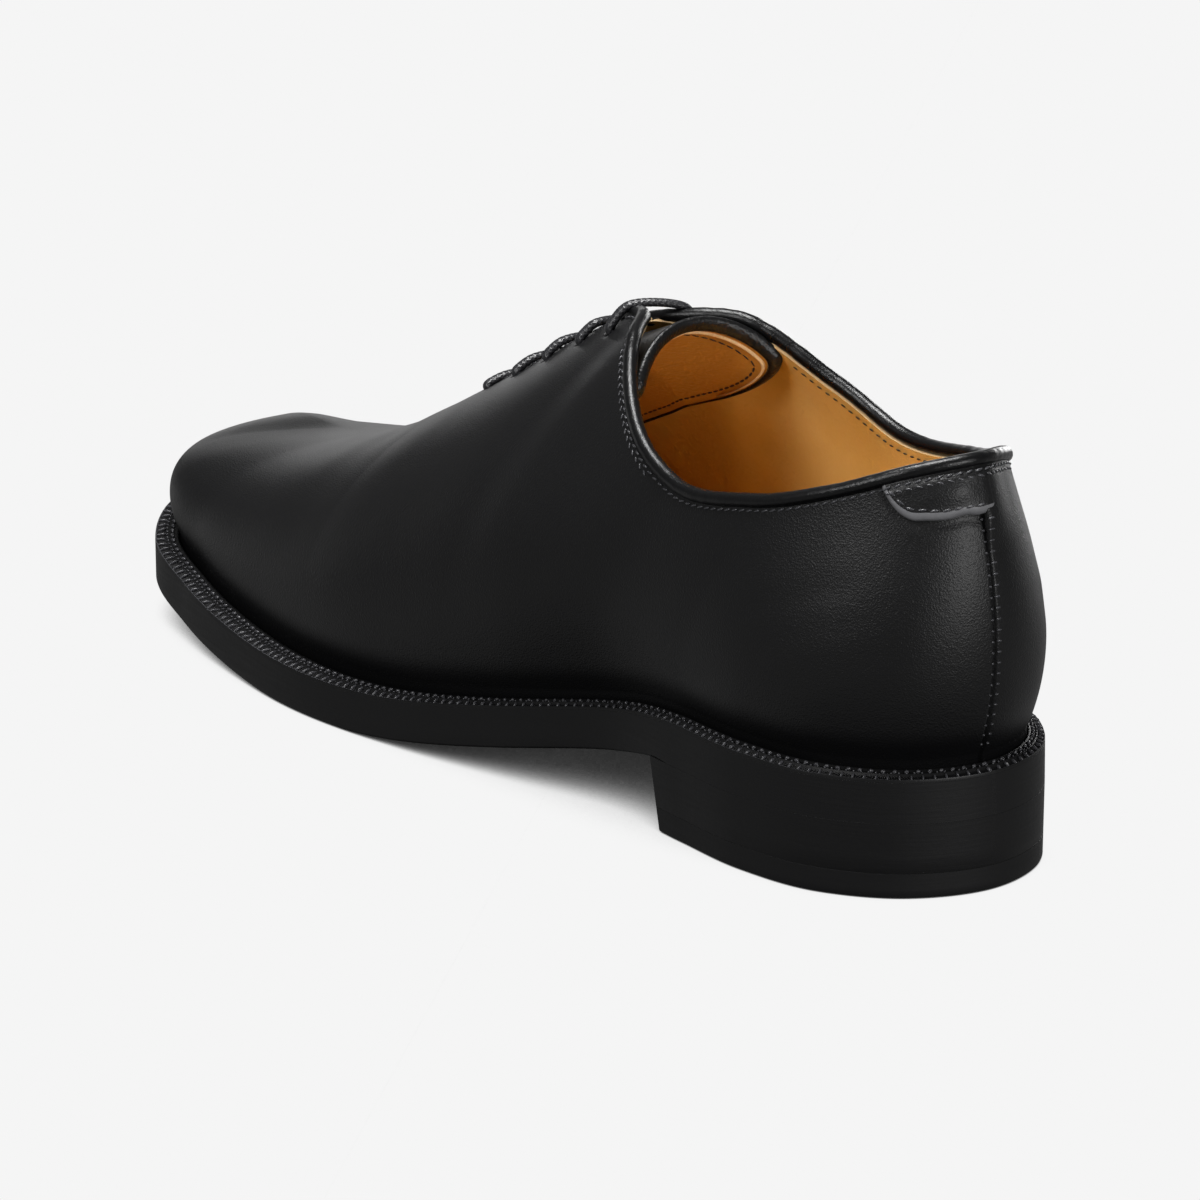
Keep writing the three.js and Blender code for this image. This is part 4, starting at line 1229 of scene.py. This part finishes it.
middle, out, up = rim_line(0.1, 0.5, back=0.75)
plump = 1 - 0.72 * ramp(np.arange(len(middle)), 215, 262)
rope("tongue_rim", middle, out, up, 1.5, 1.75, 14, rim_calf, "calf", plump=plump)
middle, out, up = rim_line(1.8, -0.1)
rope("tongue_pale_line", middle, out, up, 0.45, 0.4, 8, cut_edge, "sock", taper=4.0)
middle, out, up = rim_line(4.2, -0.02, back=0.75)
sew("tongue_stitches", [(middle, -up)], brown_thread, "sock", 2.2, 2.0, 0.6, 0.35)

# %% [markdown]
# The lace is one braided and waxed cord, a little flattened. It comes up through an eyelet, crosses
# the throat, goes down on the other side and runs on under the facing to the next pair. The top bar
# stands a little proud. Both ends stay hidden under the facings.

# %% Path of the lace
LACE_HALF_WIDE = 1.3
LACE_HALF_THICK = 0.95


def eyelet(side, k):
    s = EYELETS["left" if side == LEFT else "right"][k]
    hole, out = spot(s, EYELETS["setback"][k])
    edge = spot(s, 0.0)[0]
    return hole, out, edge, unit(edge - hole)


def smooth_path(points, step):
    """A centripetal curve through the points, sampled evenly."""
    points = np.asarray(points, float)
    points = np.concatenate([[2 * points[0] - points[1]], points, [2 * points[-1] - points[-2]]])
    result = []
    for k in range(1, len(points) - 2):
        blend = list(points[k - 1 : k + 3])
        knots = np.r_[0, np.cumsum(np.sqrt(np.linalg.norm(np.diff(blend, axis=0), axis=1)))]
        t = np.linspace(knots[1], knots[2], 16, endpoint=False)[:, None]
        for ends in (((0, 1), (1, 2), (2, 3)), ((0, 2), (1, 3)), ((1, 2),)):
            shares = [(t - knots[low]) / (knots[high] - knots[low]) for low, high in ends]
            blend = [(1 - share) * blend[i] + share * blend[i + 1] for i, share in enumerate(shares)]
        result.append(blend[0])
    result = np.concatenate(result + [points[-2:-1]])
    run = run_along(result)
    even = np.linspace(0, run[-1], int(run[-1] / step) + 1)
    return np.stack([np.interp(even, run, result[:, k]) for k in range(3)], -1)


def lace_points():
    points = []
    side = LEFT
    for k in range(len(EYELETS["left"])):
        hump = (-0.3, 0.1, 0.15, 0.2, 0.55)[k]
        for here in (side, -side):
            hole, out, edge, inward = eyelet(here, k)
            ride = LACE_HALF_THICK + 0.1
            stand = [
                hole - out * 3.4 - inward * 0.3,
                hole - out * 0.8,
                hole + out * 0.6 + inward * 0.3,
                hole + out * (ride + 0.5 * hump) + inward * 2.2,
                edge + out * (ride + hump) - inward * 0.8,
            ]
            points += stand if here == side else stand[::-1]
        side = -side
    return points


# %% The lace
def lace_tube(path, sides):
    ahead = unit(np.gradient(path, axis=0))
    flat = np.array([0, 1.0, 0]) - ahead * ahead[:, 1:2]
    side = flat.copy()
    for k in range(1, len(path)):
        side[k] = unit(side[k - 1] + 0.12 * flat[k] * np.sign(flat[k] @ side[k - 1] + 1e-9))
        side[k] = unit(side[k] - ahead[k] * (side[k] @ ahead[k]))
    side[0] = side[1]
    up = np.cross(side, ahead)
    run = run_along(path)
    taper = blunt(run, 1.4, 0.04)
    rings = []
    for k in range(sides):
        turn = 2 * math.pi * k / sides
        one = np.abs(np.sin(3 * turn + run * 2.4))
        two = np.abs(np.sin(3 * turn - run * 2.4))
        braid = (0.8 + 0.26 * np.maximum(one, two)) * taper
        thick, wide = LACE_HALF_THICK * math.cos(turn), LACE_HALF_WIDE * math.sin(turn)
        step = up * (braid * thick)[:, None] + side * (braid * wide)[:, None]
        rings.append(path + step)
    return np.stack(rings, 1), run


path = smooth_path(lace_points(), 0.2)
rings, run = lace_tube(path, 24)
faces = tube_faces(len(path), 24, False)
lace = new_object("waxed_lace", rings.reshape(-1, 3), faces, [lace_cord], smooth=60)
if signed_volume(lace) < 0:
    lace.data.flip_normals()
print("lace:", round(run[-1], 1), "mm through", 2 * len(EYELETS["left"]), "eyelets")
finish_piece(lace, "lace", "lace_bar_1", "lace_bar_2", "lace_bar_3", "lace_bar_4", "lace_bar_5")

# %% [markdown]
# The sole, the heel and the sock are slabs: closed levels, one above another, that all follow the
# same outline. The CAD has them with few faces, and here the same levels are drawn finely, with the
# broken edges that a rasp and a hot iron leave.


# %% Slabs
def share_at(side, y):
    line = SIDE_LINES[side]
    k = np.argmax(line["y"] >= y)
    return float(np.interp(y, line["y"][k - 1 : k + 1], line["at"][k - 1 : k + 1]))


BREAST_FORWARD = 1.6
BREAST = {side: share_at(side, HEEL_LENGTH + BREAST_FORWARD) for side in (LEFT, RIGHT)}


def slab(name, rows, columns, levels, materials):
    """Levels are functions of along and across. The first closes the underside and the last the top."""
    along, across = np.meshgrid(np.linspace(0, 1, rows), np.linspace(0, 1, columns), indexing="ij")
    grids = [level(along, across) for level in levels]
    points = np.concatenate([grid.reshape(-1, 3) for grid in grids])
    size = rows * columns
    under = grid_faces(rows, columns)
    top = [tuple(k + (len(levels) - 1) * size for k in reversed(face)) for face in under]
    loop = [(i, 0) for i in range(rows - 1)] + [(rows - 1, j) for j in range(columns - 1)]
    loop += [(i, columns - 1) for i in range(rows - 1, 0, -1)] + [(0, j) for j in range(columns - 1, 0, -1)]
    ids = [i * columns + j for i, j in loop]
    sides = []
    for n, a in enumerate(ids):
        b = ids[(n + 1) % len(ids)]
        for k in range(len(levels) - 1):
            sides.append((a + k * size, b + k * size, b + (k + 1) * size, a + (k + 1) * size))
    edge = grids[len(levels) // 2].reshape(-1, 3)[ids]
    run = run_along(edge)
    uv = points[:, [1, 0]] / 1000
    for k in range(len(levels)):
        rim = np.array(ids) + k * size
        uv[rim] = np.stack([run / 1000, points[rim, 2] / 1000], -1)
    first, back = same_points(points)
    faces = []
    for face in under + top + sides:
        ring = [int(back[k]) for k in face]
        ring = [k for n, k in enumerate(ring) if k != ring[n - 1]]
        if len(ring) >= 3 and len(set(ring)) == len(ring):
            faces.append(ring)
    piece = new_object(name, points[first], faces, materials, uv=uv[first], smooth=35)
    if signed_volume(piece) < 0:
        piece.data.flip_normals()
    return piece


def sole_level(inset, height):
    def level(along, across):
        edges = []
        for side in (LEFT, RIGHT):
            drawn = inset(side, along) if callable(inset) else inset
            edges.append(side_point(side, along, drawn))
        flat = edges[0] * (1 - across)[..., None] + edges[1] * across[..., None]
        return np.concatenate([flat, height(flat[..., 1], across)[..., None]], -1)

    return level


# %% The sole
def rounded(radius, steps):
    turns = [math.pi / 2 * k / steps for k in range(steps + 1)]
    return [(radius * (1 - math.sin(t)), radius * (1 - math.cos(t))) for t in turns]


def lower_edge(inset):
    return lambda side, at: inset * ramp(side_point(side, at)[..., 1], HEEL_LENGTH - 8, HEEL_LENGTH + 4)


def above_bottom(up):
    return lambda y, across: sole_bottom(y) + up


def part_way(share):
    return lambda y, across: sole_bottom(y) + share * (sole_top(y) - sole_bottom(y))


def below_top(down):
    return lambda y, across: sole_top(y) - down


levels = [sole_level(lower_edge(inset), above_bottom(up)) for inset, up in rounded(0.7, 3)]
levels += [sole_level(0.0, part_way(share)) for share in (0.35, 0.65)]
levels += [sole_level(inset, below_top(down)) for inset, down in reversed(rounded(0.02, 1))]
outsole = slab("leather_sole", 260, 18, levels, [sole_edge])
finish_piece(outsole, "sole_edge", "outsole")


# %% The heel's layers
def heel_level(inset, height):
    def level(along, across):
        flat = [side_point(side, along * BREAST[side], inset) for side in (LEFT, RIGHT)]
        flat = flat[0] * (1 - across)[..., None] + flat[1] * across[..., None]
        hollow = BREAST_HOLLOW * 4 * across * (1 - across) * along**6
        lean = BREAST_LEAN * (1 - height / HEEL_HEIGHT) * along**3
        flat[..., 1] -= hollow + lean
        return np.concatenate([flat, np.full(along.shape + (1,), height)], -1)

    return level


def heel_inset(height):
    return HEEL_TAPER * (1 - height / HEEL_HEIGHT)


def heel_piece(name, low, high, edge, materials):
    levels = [heel_level(heel_inset(low + up) + inset, low + up) for inset, up in rounded(edge, 2)]
    middle = [low + share * (high - low) for share in (0.35, 0.65)]
    levels += [heel_level(heel_inset(up), up) for up in middle]
    top = [(inset, high - down) for inset, down in reversed(rounded(0.06, 1))]
    levels += [heel_level(heel_inset(up) + inset, up) for inset, up in top]
    return slab(name, 90, 25, levels, materials)


top_piece = heel_piece("heel_top_piece", 0.0, TOP_LIFT, 0.45, [rubber])
stack = heel_piece("heel_stack_layers", TOP_LIFT + 0.03, HEEL_HEIGHT - 0.02, 0.06, [sole_edge])
finish_piece(top_piece, "top_lift", "top_lift")
finish_piece(stack, "sole_edge", "heel_stack")


# %% The sock inside
def sock_inset(side, at):
    return ledge(side, at) + WALL_THICK + 0.9


def dish(share):
    return lambda y, across: sole_top(y) + SOCK_GAP + 3.0 * share + 0.7 * share * (2 * across - 1) ** 2


levels = [sole_level(sock_inset, dish(0.0)), sole_level(sock_inset, dish(0.85))]
levels += [sole_level(lambda side, at: sock_inset(side, at) + 0.7, dish(1.0))]
sock = slab("sock_lining", 160, 14, levels, [lining])
finish_piece(sock, "sock", "insole")

# %% [markdown]
# The welt is a strip of leather sewn round the upper's foot, and it slopes a little outwards. Three
# things show on it: the lockstitch that holds the sole, in a channel near the upper, small pricks
# beside it, and the cross ridges that a heated wheel leaves towards the edge. Beyond them runs a
# narrow lip, painted lighter grey as a highlight along the edge. All three rows are sewn by the same tree.
# Beyond them runs a
# narrow lip whose black is worn. All three rows are sewn by the same tree.

# %% The welt
WELT_PROFILE = table(
    "across up",
    (0.0, 0.0),
    (0.0, 0.6),
    (0.04, 0.66),
    (0.12, 0.64),
    (0.19, 0.54),
    (0.3, 0.48),
    (0.4, 0.47),
    (0.47, 0.52),
    (0.52, 0.48),
    (0.57, 0.34),
    (0.66, 0.27),
    (0.85, 0.18),
    (0.9, 0.17),
    (0.94, 0.24),
    (0.975, 0.24),
    (1.0, 0.15),
    (1.0, 0.0),
)
WELT_SLOPE = 0.5


def welt_line(s, across, up):
    """Points on the welt round the shoe, with the width of the welt there."""
    points = np.empty((len(s), 3))
    width = np.empty(len(s))
    for side, here in ((LEFT, s >= 0), (RIGHT, s < 0)):
        at = np.abs(s[here])
        inner = ledge(side, at) - GAP
        flat = side_point(side, at, inner + (WELT_LIP - inner) * across)
        points[here] = np.concatenate([flat, (sole_top(flat[:, 1]) + 0.02 + WELT_THICK * up)[:, None]], -1)
        width[here] = inner - WELT_LIP
    return points, width


s = np.r_[np.linspace(0, 1, 420, endpoint=False), np.linspace(-1, 0, 420, endpoint=False)]
rings = np.stack([welt_line(s, a, u)[0] for a, u in zip(WELT_PROFILE["across"], WELT_PROFILE["up"])], 1)
sides = rings.shape[1]
run = run_along(rings[:, 0])
uv = np.stack([np.repeat(run / 1000, sides), np.tile(WELT_PROFILE["across"] * 0.006, len(run))], -1)
# Rows of the profile: the outer side takes the sole's dressing, the lip's top the painted highlight.
part = [{sides - 2: 1, sides - 4: 2}.get(j, 0) for _ in range(len(run)) for j in range(sides)]
faces = tube_faces(len(run), sides, True)
leathers = [welt_leather, sole_edge, lip_painted_highlight]
welt = new_object("welt_strip", rings.reshape(-1, 3), faces, leathers, part=part, uv=uv, smooth=50)
if signed_volume(welt) < 0:
    welt.data.flip_normals()
print("welt:", round(run[-1], 1), "mm round")
finish_piece(welt, "welt", "welt")


# %% Lockstitch and wheel marks of the welt
def welt_row(across, up):
    s = np.r_[np.linspace(0.0005, 1, 500, endpoint=False), np.linspace(-1, -0.0005, 500)]
    points, width = welt_line(s, across, up)
    inner, _ = welt_line(s, across - 0.05, up + 0.05 * WELT_SLOPE)
    outer, _ = welt_line(s, across + 0.05, up - 0.05 * WELT_SLOPE)
    ahead = unit(np.gradient(points, axis=0))
    out = unit(np.cross(ahead, outer - inner))
    out *= np.sign(out[:, 2:3])
    return points, out, np.clip(width / 5.2, 0.4, 1.1)


# The thread's light grey specks are painted glints.
sew("welt_lockstitch", [welt_row(0.27, 0.57)], thread_painted_glints, "lace", 2.6, 1.6, 0.9, 0.95, lean=24, unrest=16)
sew("welt_wheel_marks", [welt_row(0.75, 0.29)], thread_painted_glints, "welt", 2.6, 2.6, 0.5, 0.95, lean=86, unrest=14)
sew("welt_pricks", [welt_row(0.49, 0.56)], thread_painted_glints, "lace", 1.7, 0.7, 0.4, 0.5, lean=50, unrest=30)

# %% [markdown]
# The photograph was taken from behind the outer side, a little above, with a long lens. The camera
# is worked out from that: the direction, the distance, and where the picture's middle lies.

# %% The camera
def placed(right, up, away, place):
    """The matrix of a camera or light that looks against its third axis."""
    matrix = np.eye(4)
    matrix[:3] = np.stack([right, up, away, place], 1)
    return Matrix(matrix.tolist())


AZIMUTH, ELEVATION, ROLL = math.radians(-35.4), math.radians(17.0), math.radians(-0.4)
TARGET = (np.array([0.0, 140.0, 45.0]) + ORIGIN) / 1000
level = np.array([math.sin(AZIMUTH), -math.cos(AZIMUTH), 0.0]) * math.cos(ELEVATION)
back = level + [0, 0, math.sin(ELEVATION)]
right = unit(np.cross(-back, [0, 0, 1.0]))
up = np.cross(right, -back)
turned_right = math.cos(ROLL) * right + math.sin(ROLL) * up
turned_up = math.cos(ROLL) * up - math.sin(ROLL) * right
lens = bpy.data.cameras.new("camera")
camera = add_object("camera", lens)
camera.matrix_world = placed(turned_right, turned_up, back, TARGET + back * 2.0)
lens.sensor_width = 36.0
lens.lens = 8610 / 1200 * 36.0
lens.shift_x = -22 / 1200
lens.shift_y = -53 / 1200
lens.clip_start, lens.clip_end = 0.05, 60.0
bpy.context.scene.camera = camera
print("lens", round(lens.lens, 1), "mm, camera at", [round(value, 3) for value in camera.location])

# %% [markdown]
# Shoes are photographed like this on a white table that glows evenly, so the floor stays pale right up
# to the sole. Its shadow where the shoe covers it is painted: the ambient occlusion node darkens the glow.
# The floor lights nothing and the sky is dim, which keeps the leather dark above the welt, where the
# calf's reflection is also turned down as painted shade. Three sheets beyond the toe and the far side
# draw the light on the toe and along the silhouette, another behind the heel lights the tail, and a sheet
# on the left and a lamp overhead draw the fine lines on binding, stitches and lace and fill the lining. A
# weak lamp in front lifts the toe's lower edge.


# %% Floor and lights
def pale_floor():
    material = bpy.data.materials.new("white_table_painted_contact_shadow")
    material.use_nodes = True
    tree = material.node_tree
    tree.nodes.clear()
    # Painted contact shadow: the glow falls off with ambient occlusion near the shoe.
    near = add_node(tree, "ShaderNodeAmbientOcclusion", samples=16, in_Distance=0.06)
    shade = add_node(
        tree, "ShaderNodeMapRange", {"Value": near.outputs["AO"]}, interpolation_type="SMOOTHSTEP",
        in_1=0.024, in_2=0.566, in_3=0.02, in_4=1.0,
    )
    glow = add_node(tree, "ShaderNodeEmission", {"Strength": shade.outputs[0]}, in_Color=tint("#f5f5f5"))
    add_node(tree, "ShaderNodeOutputMaterial", {"Surface": glow.outputs[0]})
    mesh = bpy.data.meshes.new("floor")
    reach = 9.0
    corners = [(x * reach, y * reach, -0.0002) for x, y in ((-1, -1), (1, -1), (1, 1), (-1, 1))]
    mesh.from_pydata(corners, [], [(0, 1, 2, 3)])
    mesh.materials.append(material)
    floor = add_object("floor", mesh)
    floor.visible_diffuse = floor.visible_glossy = False


def soft_box(name, turn, rise, distance, wide, tall, power):
    """A sheet of light. It stands a turn from the toe to the right, and a rise, away, both in degrees."""
    light = bpy.data.lights.new(name, "AREA")
    light.shape, light.size, light.size_y = "RECTANGLE", wide, tall
    light.energy = power
    turn, rise = math.radians(turn), math.radians(rise)
    away = np.array([math.sin(turn) * math.cos(rise), math.cos(turn) * math.cos(rise), math.sin(rise)])
    side = np.array([math.cos(turn), -math.sin(turn), 0.0])
    holder = add_object(name, light)
    holder.matrix_world = placed(-side, np.cross(away, -side), away, away * distance + [0, 0, 0.05])


pale_floor()
world = bpy.data.worlds.new("studio")
bpy.context.scene.world = world
world.use_nodes = True
sky = world.node_tree.nodes["Background"]
direction = add_node(world.node_tree, "ShaderNodeTexCoord").outputs["Generated"]
height = add_node(world.node_tree, "ShaderNodeSeparateXYZ", {0: direction})
share = add_node(world.node_tree, "ShaderNodeMapRange", {"Value": height.outputs["Z"]}, in_1=-1.0, in_2=1.0)
glow = add_node(world.node_tree, "ShaderNodeValToRGB", {"Fac": share.outputs[0]})
glow.color_ramp.interpolation = "EASE"
while len(glow.color_ramp.elements) < 5:
    glow.color_ramp.elements.new(0.5)
stops = ((0.13, 0.0), (0.22, 0.25), (0.34, 0.25), (0.56, 0.1), (1.0, 0.1))
for stop, (place, strength) in zip(glow.color_ramp.elements, stops):
    stop.position = place
    stop.color = (strength, strength, strength, 1)
world.node_tree.links.new(glow.outputs[0], sky.inputs["Strength"])
sky.inputs["Color"].default_value = tint("#ffffff")
bpy.context.scene.view_settings.view_transform = "Standard"
soft_box("sheet_beyond_toe", 30, 4, 1.5, 0.6, 0.5, 1.0)
soft_box("sheet_far_side", 62, 4, 1.5, 0.6, 0.5, 6.0)
soft_box("sheet_right", 88, -4, 1.5, 0.4, 0.4, 0.35)
soft_box("sheet_behind_heel", 178, 13, 1.3, 0.6, 0.45, 6.2)
soft_box("sheet_left", -100, 36, 1.3, 0.5, 0.4, 6.5)
soft_box("lamp_overhead", 0, 85, 1.2, 0.5, 0.5, 19.0)
soft_box("lamp_low_front", -8, -5, 1.5, 0.4, 0.4, 0.25)
